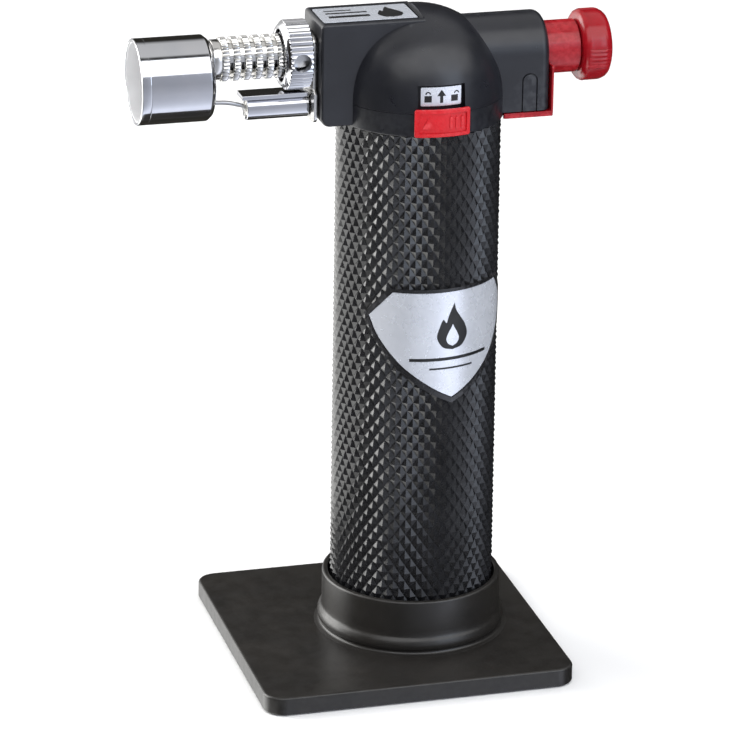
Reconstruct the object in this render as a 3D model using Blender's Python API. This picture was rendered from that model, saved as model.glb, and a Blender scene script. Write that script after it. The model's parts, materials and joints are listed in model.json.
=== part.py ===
"""A butane micro torch in its stand: +Z up, burner towards -X, igniter button towards +X.

The origin is where the grip's axis meets the surface that the stand rests on.
"""
import math

import bmesh
import bpy
from mathutils import Matrix, Vector

MM = 0.001
GAP = 0.3                # clearance between touching pieces, mm
FINE = 48                # sides of the large round pieces
MEDIUM = 24              # sides of the burner's and button's round pieces
SMALL = 10               # sides of pins, valves and screws

# Driving dimensions, in millimetres.
STAND_SIDE = 70.0
STAND_CENTRE_X = -6.6    # the plate reaches further out under the burner
STAND_TOP = 4.3
STAND_CORNER = 4.5
STAND_WALL = 2.2
SOCKET_TOP = 16.7
SOCKET_OUTER = 19.9
SOCKET_BORE = 18.6
SOCKET_FLOOR = 4.6

GRIP_BOTTOM = 6.3
GRIP_TOP = 123.0
GRIP_RADIUS_LOW = 18.25  # the moulded sleeve has a slight draft
GRIP_RADIUS_HIGH = 17.9
GRIP_BORE = 16.5

HEAD_BOTTOM = 123.3
DOME_BASE = 128.5
DOME_HEIGHT = 18.5
DOME_RADIUS = 18.3
DOME_POWER_FRONT = 2.3   # the dome is fuller over the burner than over the button
DOME_POWER_REAR = 2.0
CROWN_X = -1.2           # where the flat top of the burner block meets the crown
HEAD_WALL = 1.4
BLOCK_FRONT = -23.6
BLOCK_TOP = 146.1
BLOCK_BOTTOM = 123.6
BLOCK_HALF = 7.5
BARREL_AXIS_Z = 136.0
BARREL_RADIUS = 8.3
BARREL_END = 27.0
BARREL_FLOOR = 124.4
WINDOW_HALF = 5.2        # the lock's window in the front of the dome

BURNER_Z = 138.0
FLAME_Z = 134.2          # the flame tube sits low, so that it takes in the electrode
FLAME_FRONT = -62.6
FLAME_BACK = -46.6
FLAME_RADIUS = 9.2
HOLDER_DEPTH = 5.2       # the drilled disc sits well inside the flame tube
VENT_PITCH = 2.4
VENT_LAST_RING = -31.4
VENT_RINGS = 6
VENT_ANGLES = (95.0, 215.0, 335.0)
VENT_HALF_ANGLE = 29.0
IGNITER_Z = 126.8

BUTTON_RADIUS = 5.75
KNOB_RADIUS = 7.85
KNOB_MIDDLE = 38.2
RING_MIDDLE = -28.0
BADGE_TURN = math.radians(11.0)


def material(name, colour, roughness, metallic=0.0):
    made = bpy.data.materials.new(name)
    made.use_nodes = True
    shader = made.node_tree.nodes["Principled BSDF"]
    shader.inputs["Base Color"].default_value = (*colour, 1.0)
    shader.inputs["Roughness"].default_value = roughness
    shader.inputs["Metallic"].default_value = metallic
    made.diffuse_color = (*colour, 1.0)
    return made


def make_materials():
    return {
        "stand_black": material("stand_black", (0.02, 0.02, 0.019), 0.42),
        "grip_black": material("grip_black", (0.012, 0.012, 0.013), 0.3),
        "head_black": material("head_black", (0.018, 0.018, 0.02), 0.4),
        "inner_plastic": material("inner_plastic", (0.05, 0.05, 0.055), 0.5),
        "red_plastic": material("red_plastic", (0.5, 0.012, 0.02), 0.35),
        "slide_red": material("slide_red", (0.75, 0.02, 0.03), 0.35),
        "chrome": material("chrome", (0.75, 0.75, 0.77), 0.08, 1.0),
        "nickel": material("nickel", (0.68, 0.67, 0.65), 0.22, 1.0),
        "steel": material("steel", (0.5, 0.5, 0.5), 0.35, 1.0),
        "brass": material("brass", (0.72, 0.5, 0.2), 0.3, 1.0),
        "aluminium": material("aluminium", (0.75, 0.75, 0.76), 0.35, 1.0),
        "label_silver": material("label_silver", (0.62, 0.63, 0.68), 0.35, 0.6),
        "rubber": material("rubber", (0.02, 0.02, 0.02), 0.8),
        "ceramic": material("ceramic", (0.85, 0.83, 0.78), 0.35),
    }


def clear_scene():
    for existing in list(bpy.data.objects):
        bpy.data.objects.remove(existing, do_unlink=True)


def place(name, mesh_or_curve, finish):
    piece = bpy.data.objects.new(name, mesh_or_curve)
    bpy.context.collection.objects.link(piece)
    if finish is not None:
        mesh_or_curve.materials.append(finish)
    return piece


def finish_mesh(name, built, finish):
    """Turn a bmesh drawn in millimetres into an object in metres."""
    bmesh.ops.recalc_face_normals(built, faces=built.faces)
    if built.calc_volume(signed=True) < 0.0:
        bmesh.ops.reverse_faces(built, faces=built.faces)
    bmesh.ops.scale(built, vec=(MM, MM, MM), verts=built.verts)
    mesh = bpy.data.meshes.new(name)
    built.to_mesh(mesh)
    built.free()
    mesh.shade_smooth()
    mesh.set_sharp_from_angle(angle=math.radians(35.0))
    return place(name, mesh, finish)


def turned(name, profile, finish=None, sides=MEDIUM, axis="Z", centre=(0.0, 0.0, 0.0)):
    """Revolve a closed profile of (radius, distance along the axis) points."""
    built = bmesh.new()
    rings = []
    for radius, along in profile:
        if radius < 1e-6:
            rings.append([built.verts.new((0.0, 0.0, along))])
            continue
        ring = []
        for step in range(sides):
            angle = 2.0 * math.pi * step / sides
            ring.append(built.verts.new((radius * math.cos(angle), radius * math.sin(angle), along)))
        rings.append(ring)
    on_axis = len(rings[0]) == 1 and len(rings[-1]) == 1
    pairs = list(zip(rings, rings[1:]))
    if not on_axis:
        pairs.append((rings[-1], rings[0]))
    for first, second in pairs:
        for step in range(sides):
            after = (step + 1) % sides
            if len(first) == 1:
                built.faces.new((first[0], second[step], second[after]))
            elif len(second) == 1:
                built.faces.new((first[step], second[0], first[after]))
            else:
                built.faces.new((first[step], second[step], second[after], first[after]))
    if axis == "X":
        bmesh.ops.rotate(built, verts=built.verts, matrix=Matrix.Rotation(math.pi / 2.0, 3, "Y"))
    if axis == "Y":
        bmesh.ops.rotate(built, verts=built.verts, matrix=Matrix.Rotation(-math.pi / 2.0, 3, "X"))
    bmesh.ops.translate(built, verts=built.verts, vec=centre)
    return finish_mesh(name, built, finish)


def lofted(name, sections, finish=None):
    """Join closed sections, each a list of the same number of 3-D points, and cap both ends."""
    built = bmesh.new()
    loops = []
    for section in sections:
        loops.append([built.verts.new(point) for point in section])
    count = len(loops[0])
    for first, second in zip(loops, loops[1:]):
        for step in range(count):
            after = (step + 1) % count
            built.faces.new((first[step], first[after], second[after], second[step]))
    built.faces.new(loops[0])
    built.faces.new(loops[-1])
    return finish_mesh(name, built, finish)


def rod(name, radius, low, high, finish=None, sides=SMALL, axis="Z", centre=(0.0, 0.0, 0.0)):
    """A plain round bar, whose flat ends are single faces."""
    sections = []
    for along in (low, high):
        section = []
        for step in range(sides):
            angle = 2.0 * math.pi * (step + 0.5) / sides
            across, rise = radius * math.cos(angle), radius * math.sin(angle)
            point = {"X": (along, across, rise), "Y": (across, along, rise), "Z": (across, rise, along)}
            section.append(Vector(point[axis]) + Vector(centre))
        sections.append(section)
    return lofted(name, sections, finish)


def upright(outline, low, high):
    """Sections for an outline in X and Y, extruded along Z."""
    return [[(x, y, z) for x, y in outline] for z in (low, high)]


def sideways(outline, reach):
    """Sections for an outline in X and Z, extruded along Y to both sides."""
    return [[(x, y, z) for x, z in outline] for y in (-reach, reach)]


def box(name, low, high, finish=None):
    outline = [(low[0], low[1]), (high[0], low[1]), (high[0], high[1]), (low[0], high[1])]
    return lofted(name, upright(outline, low[2], high[2]), finish)


def arc(centre_x, centre_y, radius, start, end, steps):
    points = []
    for step in range(steps + 1):
        angle = math.radians(start + (end - start) * step / steps)
        points.append((centre_x + radius * math.cos(angle), centre_y + radius * math.sin(angle)))
    return points


def rounded_rectangle(low_x, low_y, high_x, high_y, radius, steps=6):
    outline = arc(high_x - radius, high_y - radius, radius, 0, 90, steps)
    outline += arc(low_x + radius, high_y - radius, radius, 90, 180, steps)
    outline += arc(low_x + radius, low_y + radius, radius, 180, 270, steps)
    outline += arc(high_x - radius, low_y + radius, radius, 270, 360, steps)
    return outline


def combine(piece, tool, operation):
    step = piece.modifiers.new(operation.lower() + "_" + tool.name, "BOOLEAN")
    step.operation = operation
    step.solver = "EXACT"
    step.object = tool
    tool.hide_render = True
    tool.display_type = "WIRE"


def cut(piece, *tools):
    for tool in tools:
        combine(piece, tool, "DIFFERENCE")


def add(piece, *tools):
    for tool in tools:
        combine(piece, tool, "UNION")


def soften(piece, width, segments=2):
    bevel = piece.modifiers.new("soft_edges", "BEVEL")
    bevel.width = width * MM
    bevel.segments = segments
    bevel.limit_method = "ANGLE"
    bevel.angle_limit = math.radians(40.0)


def smooth_route(points, per_span=4):
    """Read a Catmull-Rom curve through the route's own points."""
    route = [Vector(point) for point in points]
    route = [2.0 * route[0] - route[1]] + route + [2.0 * route[-1] - route[-2]]
    smooth = []
    for index in range(1, len(route) - 2):
        before, here, there, beyond = route[index - 1:index + 3]
        for step in range(per_span):
            t = step / per_span
            smooth.append(0.5 * (2.0 * here + (there - before) * t
                                 + (2.0 * before - 5.0 * here + 4.0 * there - beyond) * t ** 2
                                 + (3.0 * here - before - 3.0 * there + beyond) * t ** 3))
    smooth.append(route[-2])
    return smooth


def wire(name, points, radius, finish, roundness=2):
    """A round wire through points in millimetres, with closed ends."""
    line = bpy.data.curves.new(name, "CURVE")
    line.dimensions = "3D"
    line.bevel_depth = radius * MM
    line.bevel_resolution = roundness
    line.use_fill_caps = True
    spline = line.splines.new("POLY")
    spline.points.add(len(points) - 1)
    for target, point in zip(spline.points, points):
        target.co = (point[0] * MM, point[1] * MM, point[2] * MM, 1.0)
    return place(name, line, finish)


def hang(name, pivot):
    """Move a piece's origin to a point on its joint's axis, leaving its shape where it is."""
    piece = bpy.data.objects[name]
    offset = Vector(pivot) * MM
    piece.data.transform(Matrix.Translation(-offset))
    piece.location = offset


def coil_points(radius, low, high, turns, per_turn, axis, centre):
    points = []
    total = turns * per_turn
    for step in range(total + 1):
        angle = 2.0 * math.pi * step / per_turn
        along = low + (high - low) * step / total
        across = radius * math.cos(angle)
        rise = radius * math.sin(angle)
        if axis == "X":
            points.append((along, centre[1] + across, centre[2] + rise))
        else:
            points.append((centre[0] + across, centre[1] + rise, along))
    return points


# ---------------------------------------------------------------- stand

def make_stand(mats):
    half = STAND_SIDE / 2.0
    low_x = STAND_CENTRE_X - half
    high_x = STAND_CENTRE_X + half
    edge = 0.5
    sections = []
    for inset, z in ((0.0, GAP), (0.0, STAND_TOP - edge), (edge, STAND_TOP)):
        outline = rounded_rectangle(low_x + inset, inset - half, high_x - inset, half - inset,
                                    STAND_CORNER - inset)
        sections.append([(x, y, z) for x, y in outline])
    stand = lofted("stand_base", sections, mats["stand_black"])
    rim = SOCKET_TOP
    socket = turned("socket_form", [
        (0.0, 3.6), (20.2, 3.6), (20.3, 4.5), (20.8, 5.4), (20.9, 6.3), (20.6, 7.3), (20.0, 8.2),
        (SOCKET_OUTER, 9.2), (SOCKET_OUTER, rim - 0.5), (SOCKET_OUTER - 0.5, rim),
        (SOCKET_BORE + 0.4, rim), (SOCKET_BORE, rim - 0.4), (SOCKET_BORE, SOCKET_FLOOR),
        (0.0, SOCKET_FLOOR)], sides=FINE)
    inner = STAND_WALL
    recess = lofted("recess_form", upright(
        rounded_rectangle(low_x + inner, inner - half, high_x - inner, half - inner,
                          STAND_CORNER - inner), -1.0, 3.0))
    add(stand, socket)
    cut(stand, recess)
    inner += GAP
    outline = rounded_rectangle(low_x + inner, inner - half, high_x - inner, half - inner,
                                STAND_CORNER - inner)
    lofted("stand_pad", upright(outline, 0.0, 1.0), mats["rubber"])
    lofted("stand_weight", upright(outline, 1.3, 2.7), mats["steel"])


# ---------------------------------------------------------------- tank and grip

def grip_radius(z):
    share = (z - GRIP_BOTTOM) / (GRIP_TOP - GRIP_BOTTOM)
    return GRIP_RADIUS_LOW + (GRIP_RADIUS_HIGH - GRIP_RADIUS_LOW) * share


def shield_outline(margin):
    """The badge as (arc length, height) points, symmetric about its centre line."""
    half = [(13.4, 88.1), (19.0, 82.1), (16.6, 77.6), (12.0, 72.2), (7.4, 68.4), (3.2, 65.6)]
    middle_z = 77.0
    points = [(-s, z) for s, z in half] + [(0.0, 63.9)] + [(s, z) for s, z in reversed(half)]
    grown = []
    for s, z in points:
        away = Vector((s, z - middle_z))
        grown.append(tuple(Vector((s, z)) + away.normalized() * margin))
    return grown


def wrapped_plate(name, outline, inner, outer, turn, finish=None):
    """A plate bent round the grip's axis; its outline is arc length and height."""
    built = bmesh.new()
    face = built.faces.new([built.verts.new((s, 0.0, z)) for s, z in outline])
    reach = max(abs(s) for s, z in outline)
    cuts = 2 * max(2, int(reach / 1.5))
    for step in range(1, cuts):
        at = -reach + 2.0 * reach * step / cuts
        everything = built.verts[:] + built.edges[:] + built.faces[:]
        bmesh.ops.bisect_plane(built, geom=everything, plane_co=(at, 0.0, 0.0),
                               plane_no=(1.0, 0.0, 0.0), dist=1e-5)
    raised = bmesh.ops.extrude_face_region(built, geom=built.faces[:])
    lifted = [item for item in raised["geom"] if isinstance(item, bmesh.types.BMVert)]
    bmesh.ops.translate(built, verts=lifted, vec=(0.0, 1.0, 0.0))
    for vert in built.verts:
        angle = vert.co.x / GRIP_RADIUS_HIGH + turn
        radius = outer if vert.co.y > 0.5 else inner
        vert.co = (radius * math.sin(angle), -radius * math.cos(angle), vert.co.z)
    return finish_mesh(name, built, finish)


def make_grip(mats):
    sleeve = turned("grip_sleeve", [
        (GRIP_RADIUS_LOW, GRIP_BOTTOM), (GRIP_RADIUS_HIGH, GRIP_TOP), (GRIP_BORE, GRIP_TOP),
        (GRIP_BORE, GRIP_BOTTOM)], mats["grip_black"], FINE)
    badge_face = grip_radius(76.0) - 0.1
    recess = wrapped_plate("badge_recess_form", shield_outline(1.0), badge_face - 0.8, 20.0, BADGE_TURN)
    cut(sleeve, recess)
    wrapped_plate("badge_plate", shield_outline(0.0), badge_face - 0.5, badge_face, BADGE_TURN,
                  mats["label_silver"])
    turned("sleeve_end_cap", [
        (5.4, 4.9), (17.2, 4.9), (17.9, 5.4), (17.9, 6.0), (5.4, 6.0)], mats["grip_black"], FINE)


def make_tank(mats):
    turned("fuel_tank", [
        (16.2, 6.3), (16.2, 113.0), (15.2, 116.4), (12.2, 118.6), (7.2, 119.0),
        (7.2, 118.2), (11.8, 117.8), (14.4, 115.8), (15.4, 112.8), (15.4, 6.3)],
        mats["aluminium"], MEDIUM)
    turned("tank_bottom", [
        (3.3, 6.4), (5.2, 6.4), (6.4, 7.8), (13.8, 7.8), (14.3, 6.4), (15.1, 6.4), (15.1, 9.6),
        (3.3, 9.6)], mats["aluminium"], MEDIUM)
    turned("refill_valve", [
        (1.6, 5.6), (3.0, 5.6), (3.0, 9.9), (4.4, 9.9), (4.4, 11.2), (2.6, 11.2), (2.6, 18.0),
        (0.7, 18.0), (0.7, 17.0), (1.6, 17.0)], mats["brass"], SMALL)
    turned("refill_stem", [
        (0.0, 5.2), (0.9, 5.2), (0.9, 9.4), (1.25, 9.6), (1.25, 10.4), (0.6, 10.6), (0.6, 13.0),
        (0.0, 13.0)], mats["brass"], SMALL)
    wire("refill_spring", coil_points(1.1, 11.0, 16.4, 4, 8, "Z", (0.0, 0.0, 0.0)), 0.18,
         mats["steel"], 0)


# ---------------------------------------------------------------- gas valve

LEVER_PIVOT = (2.5, 0.0, 128.3)
SCREW_CIRCLE = 14.0
SCREW_ANGLES = (60, 120, 240, 300)


def screw_places():
    for angle in SCREW_ANGLES:
        yield (SCREW_CIRCLE * math.cos(math.radians(angle)), SCREW_CIRCLE * math.sin(math.radians(angle)))


def make_valve(mats):
    pivot_x, _, pivot_z = LEVER_PIVOT
    neck = turned("tank_neck", [
        (0.6, 112.0), (6.8, 112.0), (6.8, 120.3), (10.3, 120.3), (10.3, 121.5), (15.7, 121.5),
        (15.7, 122.9), (7.5, 122.9), (7.5, 125.6), (1.6, 125.6), (1.6, 112.7), (0.6, 112.7)],
        mats["aluminium"], MEDIUM)
    for side, label in ((-1, "near"), (1, "far")):
        low_y, high_y = sorted((side * 6.1, side * 7.3))
        ear = box("ear_form_" + label, (pivot_x - 1.7, low_y, 122.4), (pivot_x + 1.7, high_y, 130.2))
        add(neck, ear)
    cut(neck, rod("ear_hole_form", 0.9, -9.0, 9.0, axis="Y", centre=LEVER_PIVOT))
    for number, (x, y) in enumerate(screw_places(), 1):
        cut(neck, rod("neck_hole_form_%d" % number, 1.25, 120.0, 124.0, centre=(x, y, 0.0)))
        turned("head_screw_%d" % number, [
            (0.0, 120.9), (0.5, 120.9), (0.7, 120.1), (1.9, 120.1), (1.9, 121.2), (0.9, 121.2),
            (0.9, 129.5), (0.0, 130.3)], mats["steel"], 8, centre=(x, y, 0.0))
    ring = []
    for step in range(6):
        angle = 2.0 * math.pi * step / 6
        ring.append((8.7 + 0.35 * math.cos(angle), 119.65 + 0.35 * math.sin(angle)))
    turned("neck_seal", ring, mats["rubber"], MEDIUM)
    turned("valve_stem", [
        (0.0, 117.0), (0.6, 117.0), (0.6, 121.0), (1.25, 121.2), (1.25, 122.2), (0.9, 122.4),
        (0.9, 127.3), (0.0, 127.3)], mats["brass"], SMALL)
    wire("valve_spring", coil_points(1.1, 113.2, 120.5, 5, 8, "Z", (0.0, 0.0, 0.0)), 0.18,
         mats["steel"], 0)
    lever = rod("valve_lever", 1.6, -5.7, 5.7, mats["inner_plastic"], SMALL, "Y", LEVER_PIVOT)
    nose = box("lever_nose_form", (-1.2, -1.6, 127.6), (pivot_x, 1.6, 129.2))
    add(lever, nose)
    for side, label in ((-1, "near"), (1, "far")):
        low_y, high_y = sorted((side * 4.5, side * 5.6))
        outline = [(pivot_x - 0.9, pivot_z + 0.9), (pivot_x + 1.2, pivot_z - 0.6),
                   (8.4, 135.2), (8.6, 136.4), (8.2, 137.4), (7.2, 137.2)]
        arm = lofted("lever_arm_form_" + label,
                     [[(x, y, z) for x, z in outline] for y in (low_y, high_y)])
        add(lever, arm)
    cut(lever, rod("lever_bore_form", 0.95, -7.0, 7.0, axis="Y", centre=LEVER_PIVOT))
    rod("lever_pin", 0.6, -7.3, 7.3, mats["steel"], SMALL, "Y", LEVER_PIVOT)
    route = [(-7.8, 0.0, 124.2), (-10.6, 0.0, 124.6), (-12.8, 0.0, 127.0), (-13.0, 0.0, 131.0),
             (-12.4, 0.0, 134.8), (-13.2, 0.0, 137.4), (-15.7, 0.0, 138.0)]
    wire("gas_tube", smooth_route(route, 3), 0.8, mats["brass"], 1)


# ---------------------------------------------------------------- head

def domed(name, radius, height, foot, finish=None, sides=FINE, steps=9):
    """A dome on a round skirt: superellipse sections, fuller towards -X, down to foot."""
    built = bmesh.new()
    crown = built.verts.new((0.0, 0.0, DOME_BASE + height))
    rings = []
    for step in range(1, steps + 1):
        share = math.sin(0.5 * math.pi * step / steps)
        ring = []
        for side in range(sides):
            angle = 2.0 * math.pi * side / sides
            lean = 0.5 + 0.5 * math.cos(angle)
            power = DOME_POWER_FRONT + (DOME_POWER_REAR - DOME_POWER_FRONT) * lean
            level = max(0.0, 1.0 - share ** power) ** (1.0 / power)
            ring.append(built.verts.new((radius * share * math.cos(angle),
                                         radius * share * math.sin(angle),
                                         DOME_BASE + height * level)))
        rings.append(ring)
    skirt = [built.verts.new((vert.co.x, vert.co.y, foot)) for vert in rings[-1]]
    rings.append(skirt)
    for side in range(sides):
        built.faces.new((crown, rings[0][side], rings[0][(side + 1) % sides]))
    for first, second in zip(rings, rings[1:]):
        for side in range(sides):
            after = (side + 1) % sides
            built.faces.new((first[side], second[side], second[after], first[after]))
    built.faces.new(skirt)
    return finish_mesh(name, built, finish)


def barrel_outline(radius, floor, steps=14):
    """A round top on straight sides, as (y, z) points."""
    return [(-radius, floor), (radius, floor)] + arc(0.0, BARREL_AXIS_Z, radius, 0, 180, steps)


def along_x(outline, x):
    return [(x, y, z) for y, z in outline]


def make_head_shell(mats):
    housing = domed("head_housing", DOME_RADIUS, DOME_HEIGHT, HEAD_BOTTOM, mats["head_black"])
    cut(housing, box("crown_form", (-20.0, -BLOCK_HALF - 1.0, BLOCK_TOP - 0.5),
                     (CROWN_X, BLOCK_HALF + 1.0, 150.0)))
    corner = 2.0
    outline = [(CROWN_X + 0.3, BLOCK_BOTTOM), (CROWN_X + 0.3, BLOCK_TOP), (BLOCK_FRONT, BLOCK_TOP)]
    outline += arc(BLOCK_FRONT + corner, BLOCK_BOTTOM + corner, corner, 180, 270, 5)
    block = lofted("block_form", sideways(outline, BLOCK_HALF))
    rounding = ((0.0, 0.0), (0.35, 1.2), (1.4, 1.8))
    sections = [along_x(barrel_outline(BARREL_RADIUS, BARREL_FLOOR), 0.0)]
    for inset, ahead in rounding:
        sections.append(along_x(barrel_outline(BARREL_RADIUS - inset, BARREL_FLOOR),
                                BARREL_END - rounding[-1][1] + ahead))
    barrel = lofted("barrel_form", sections)
    add(housing, block, barrel)
    return housing


def hollow_head(housing):
    cut(housing, domed("dome_hollow_form", DOME_RADIUS - 2.3, DOME_HEIGHT - 2.4, 121.0,
                       sides=32, steps=6))
    inner = BLOCK_HALF - HEAD_WALL
    cut(housing, box("block_hollow_form", (BLOCK_FRONT + HEAD_WALL, -inner, BLOCK_BOTTOM + HEAD_WALL),
                     (-2.0, inner, BLOCK_TOP - HEAD_WALL)))
    outline = barrel_outline(BARREL_RADIUS - HEAD_WALL, BARREL_FLOOR + 1.1)
    cut(housing, lofted("barrel_hollow_form",
                        [along_x(outline, 2.0), along_x(outline, BARREL_END - 1.3)]))
    cut(housing, box("barrel_floor_form", (19.0, 0.1 - BARREL_RADIUS + HEAD_WALL, 122.0),
                     (BARREL_END - 1.4, BARREL_RADIUS - HEAD_WALL - 0.1, 127.0)))


def open_head(housing):
    cut(housing, rod("button_hole_form", BUTTON_RADIUS + 0.35, 24.0, 29.0, sides=MEDIUM, axis="X",
                     centre=(0.0, 0.0, BARREL_AXIS_Z)))
    cut(housing, rod("shank_hole_form", 3.3, BLOCK_FRONT - 1.0, BLOCK_FRONT + 3.0, axis="X",
                     centre=(0.0, 0.0, BURNER_Z)))
    cut(housing, rod("lead_hole_form", 1.3, BLOCK_FRONT - 1.0, BLOCK_FRONT + 3.0, axis="X",
                     centre=(0.0, 0.0, IGNITER_Z)))
    channel = box("channel_form", (-WINDOW_HALF, -22.0, 122.0), (WINDOW_HALF, -12.0, 134.4))
    cut(channel, rod("channel_floor_form", 16.9, 120.0, 136.0, sides=FINE))
    cut(housing, channel)
    cut(housing, box("top_label_form", (-22.8, -5.7, BLOCK_TOP - 0.6), (-1.7, 5.7, BLOCK_TOP + 1.0)))


def brace_head(housing):
    """Bosses inside the dome that the head screws bite into."""
    for number, (x, y) in enumerate(screw_places(), 1):
        add(housing, rod("boss_form_%d" % number, 2.3, HEAD_BOTTOM, 135.0, centre=(x, y, 0.0)))
        cut(housing, rod("pilot_form_%d" % number, 1.25, 122.0, 131.0, centre=(x, y, 0.0)))


def make_rear_cover(mats):
    """The L-shaped cover that closes the igniter barrel below and behind."""
    half = BARREL_RADIUS - 0.1
    low = BARREL_FLOOR - 1.5
    cover = box("rear_cover", (14.0, -half, low), (BARREL_END + 0.8, half, BARREL_FLOOR - GAP),
                mats["red_plastic"])
    back = box("cover_back_form", (BARREL_END + GAP, -half, low + 0.2), (BARREL_END + 0.8, half, 134.0))
    clip = box("cover_clip_form", (20.6, -6.5, low + 0.2), (24.0, 6.5, 128.0))
    add(cover, back, clip)
    cut(cover, rod("cover_skirt_form", DOME_RADIUS + GAP, 120.0, 126.0, sides=FINE))
    cut(cover, rod("cover_button_form", BUTTON_RADIUS + 0.4, 20.0, 30.0, sides=MEDIUM, axis="X",
                   centre=(0.0, 0.0, BARREL_AXIS_Z)))
    cut(cover, box("cover_clip_gap_form", (19.5, -5.3, BARREL_FLOOR - GAP), (25.0, 5.3, 129.0)))


def make_head(mats):
    housing = make_head_shell(mats)
    hollow_head(housing)
    brace_head(housing)
    open_head(housing)
    make_rear_cover(mats)
    lofted("top_label", upright(rounded_rectangle(-22.5, -5.4, -2.0, 5.4, 0.4, 2),
                                BLOCK_TOP - 0.3, BLOCK_TOP), mats["label_silver"])
    make_lock(mats)


def upright_rectangle(half, low, high):
    return [(-half, low), (half, low), (half, high), (-half, high)]


def make_lock(mats):
    """A capped slide: its stem runs in the window, and its cap laps over the window's sides."""
    wrapped_plate("lock_label", upright_rectangle(WINDOW_HALF - 0.6, 129.9, 134.0), 17.2, 17.4, 0.0,
                  mats["label_silver"])
    slide = wrapped_plate("lock_slide", upright_rectangle(5.8, 123.5, 129.6), 18.65, 19.4, 0.0,
                          mats["slide_red"])
    soften(slide, 0.25)
    add(slide, wrapped_plate("slide_stem_form", upright_rectangle(WINDOW_HALF - GAP, 124.2, 128.9),
                             17.7, 18.9, 0.0))


# ---------------------------------------------------------------- burner

def make_burner_mounting(mats):
    corner = 1.6
    foot = BLOCK_BOTTOM + GAP
    half = arc(5.4 - corner, foot + corner, corner, 270, 360, 4)
    half += [(5.4, 130.4), (4.4, 131.4)]
    half += arc(4.4 - corner, 142.6 - corner, corner, 0, 90, 4)
    outline = half + [(-y, z) for y, z in reversed(half)]
    plate = lofted("burner_bracket", [along_x(outline, BLOCK_FRONT - 1.1),
                                      along_x(outline, BLOCK_FRONT - GAP)], mats["nickel"])
    cut(plate, rod("plate_shank_form", 3.3, -27.0, -21.0, axis="X", centre=(0.0, 0.0, BURNER_Z)))
    cut(plate, rod("plate_lead_form", 1.3, -27.0, -21.0, axis="X", centre=(0.0, 0.0, IGNITER_Z)))
    centre = (0.0, 0.0, BURNER_Z)
    turned("burner_body", [
        (2.4, -29.2), (4.9, -29.2), (5.2, -28.9), (5.2, -25.0), (3.0, -25.0), (3.0, -16.0),
        (1.0, -16.0), (1.0, -25.6), (2.4, -25.6)], mats["steel"], MEDIUM, "X", centre)
    turned("gas_jet", [
        (0.3, -31.2), (1.2, -31.2), (1.9, -30.2), (2.1, -29.6), (2.1, -25.9), (0.6, -25.9),
        (0.6, -30.4), (0.3, -30.4)], mats["brass"], SMALL, "X", centre)
    turned("burner_nut", [
        (3.85, -21.8), (5.6, -21.8), (5.6, -19.4), (3.85, -19.4)], mats["brass"], 6, "X", centre)


def vent_wedge(name, low_x, high_x, middle):
    """A wedge about the burner's axis; angles run from -Y towards +Z."""
    outline = []
    for radius, way in ((6.0, 1.0), (2.9, -1.0)):
        for share in (-1.0, 0.0, 1.0):
            angle = math.radians(middle + way * share * VENT_HALF_ANGLE)
            outline.append((-radius * math.cos(angle), BURNER_Z + radius * math.sin(angle)))
    return lofted(name, [along_x(outline, x) for x in (low_x, high_x)])


def make_burner_tube(mats):
    """Six ribs with slots between them, and a plain neck that enters the flame tube."""
    rib, groove, bore, half_rib = 4.75, 4.05, 3.3, 0.73
    rear = -29.6
    profile = [(bore, rear), (4.4, rear), (4.4, VENT_LAST_RING + half_rib)]
    for index in range(VENT_RINGS):
        x = VENT_LAST_RING - VENT_PITCH * index
        profile += [(rib, x + half_rib), (rib, x - half_rib)]
        if index < VENT_RINGS - 1:
            profile += [(groove, x - half_rib), (groove, x - VENT_PITCH + half_rib)]
    profile += [(4.3, -44.3), (4.3, -46.0), (4.0, -46.2), (4.0, -51.0), (bore, -51.0)]
    centre = (0.0, 0.0, BURNER_Z)
    tube = turned("burner_tube", profile, mats["nickel"], MEDIUM, "X", centre)
    slot_half = 0.5 * VENT_PITCH - half_rib - 0.06
    for index in range(VENT_RINGS - 1):
        x = VENT_LAST_RING - VENT_PITCH * (index + 0.5)
        for number, middle in enumerate(VENT_ANGLES):
            cut(tube, vent_wedge("slot_form_%d_%d" % (index, number), x - slot_half, x + slot_half, middle))
    turned("mixer_tube", [(2.0, -50.5), (2.5, -50.5), (2.5, -31.8), (2.0, -31.8)],
           mats["steel"], SMALL, "X", centre)


def make_air_ring(mats):
    centre = (0.0, 0.0, BURNER_Z)
    ring = turned("air_ring", [
        (5.6, -31.0), (6.5, -31.0), (7.5, -30.0), (7.5, -25.4), (7.1, -25.0), (5.6, -25.0)],
        mats["chrome"], MEDIUM, "X", centre)
    cut(ring, rod("air_hole_form", 1.95, -10.0, -4.0, axis="Y", centre=(-27.6, 0.0, BURNER_Z)))


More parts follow.
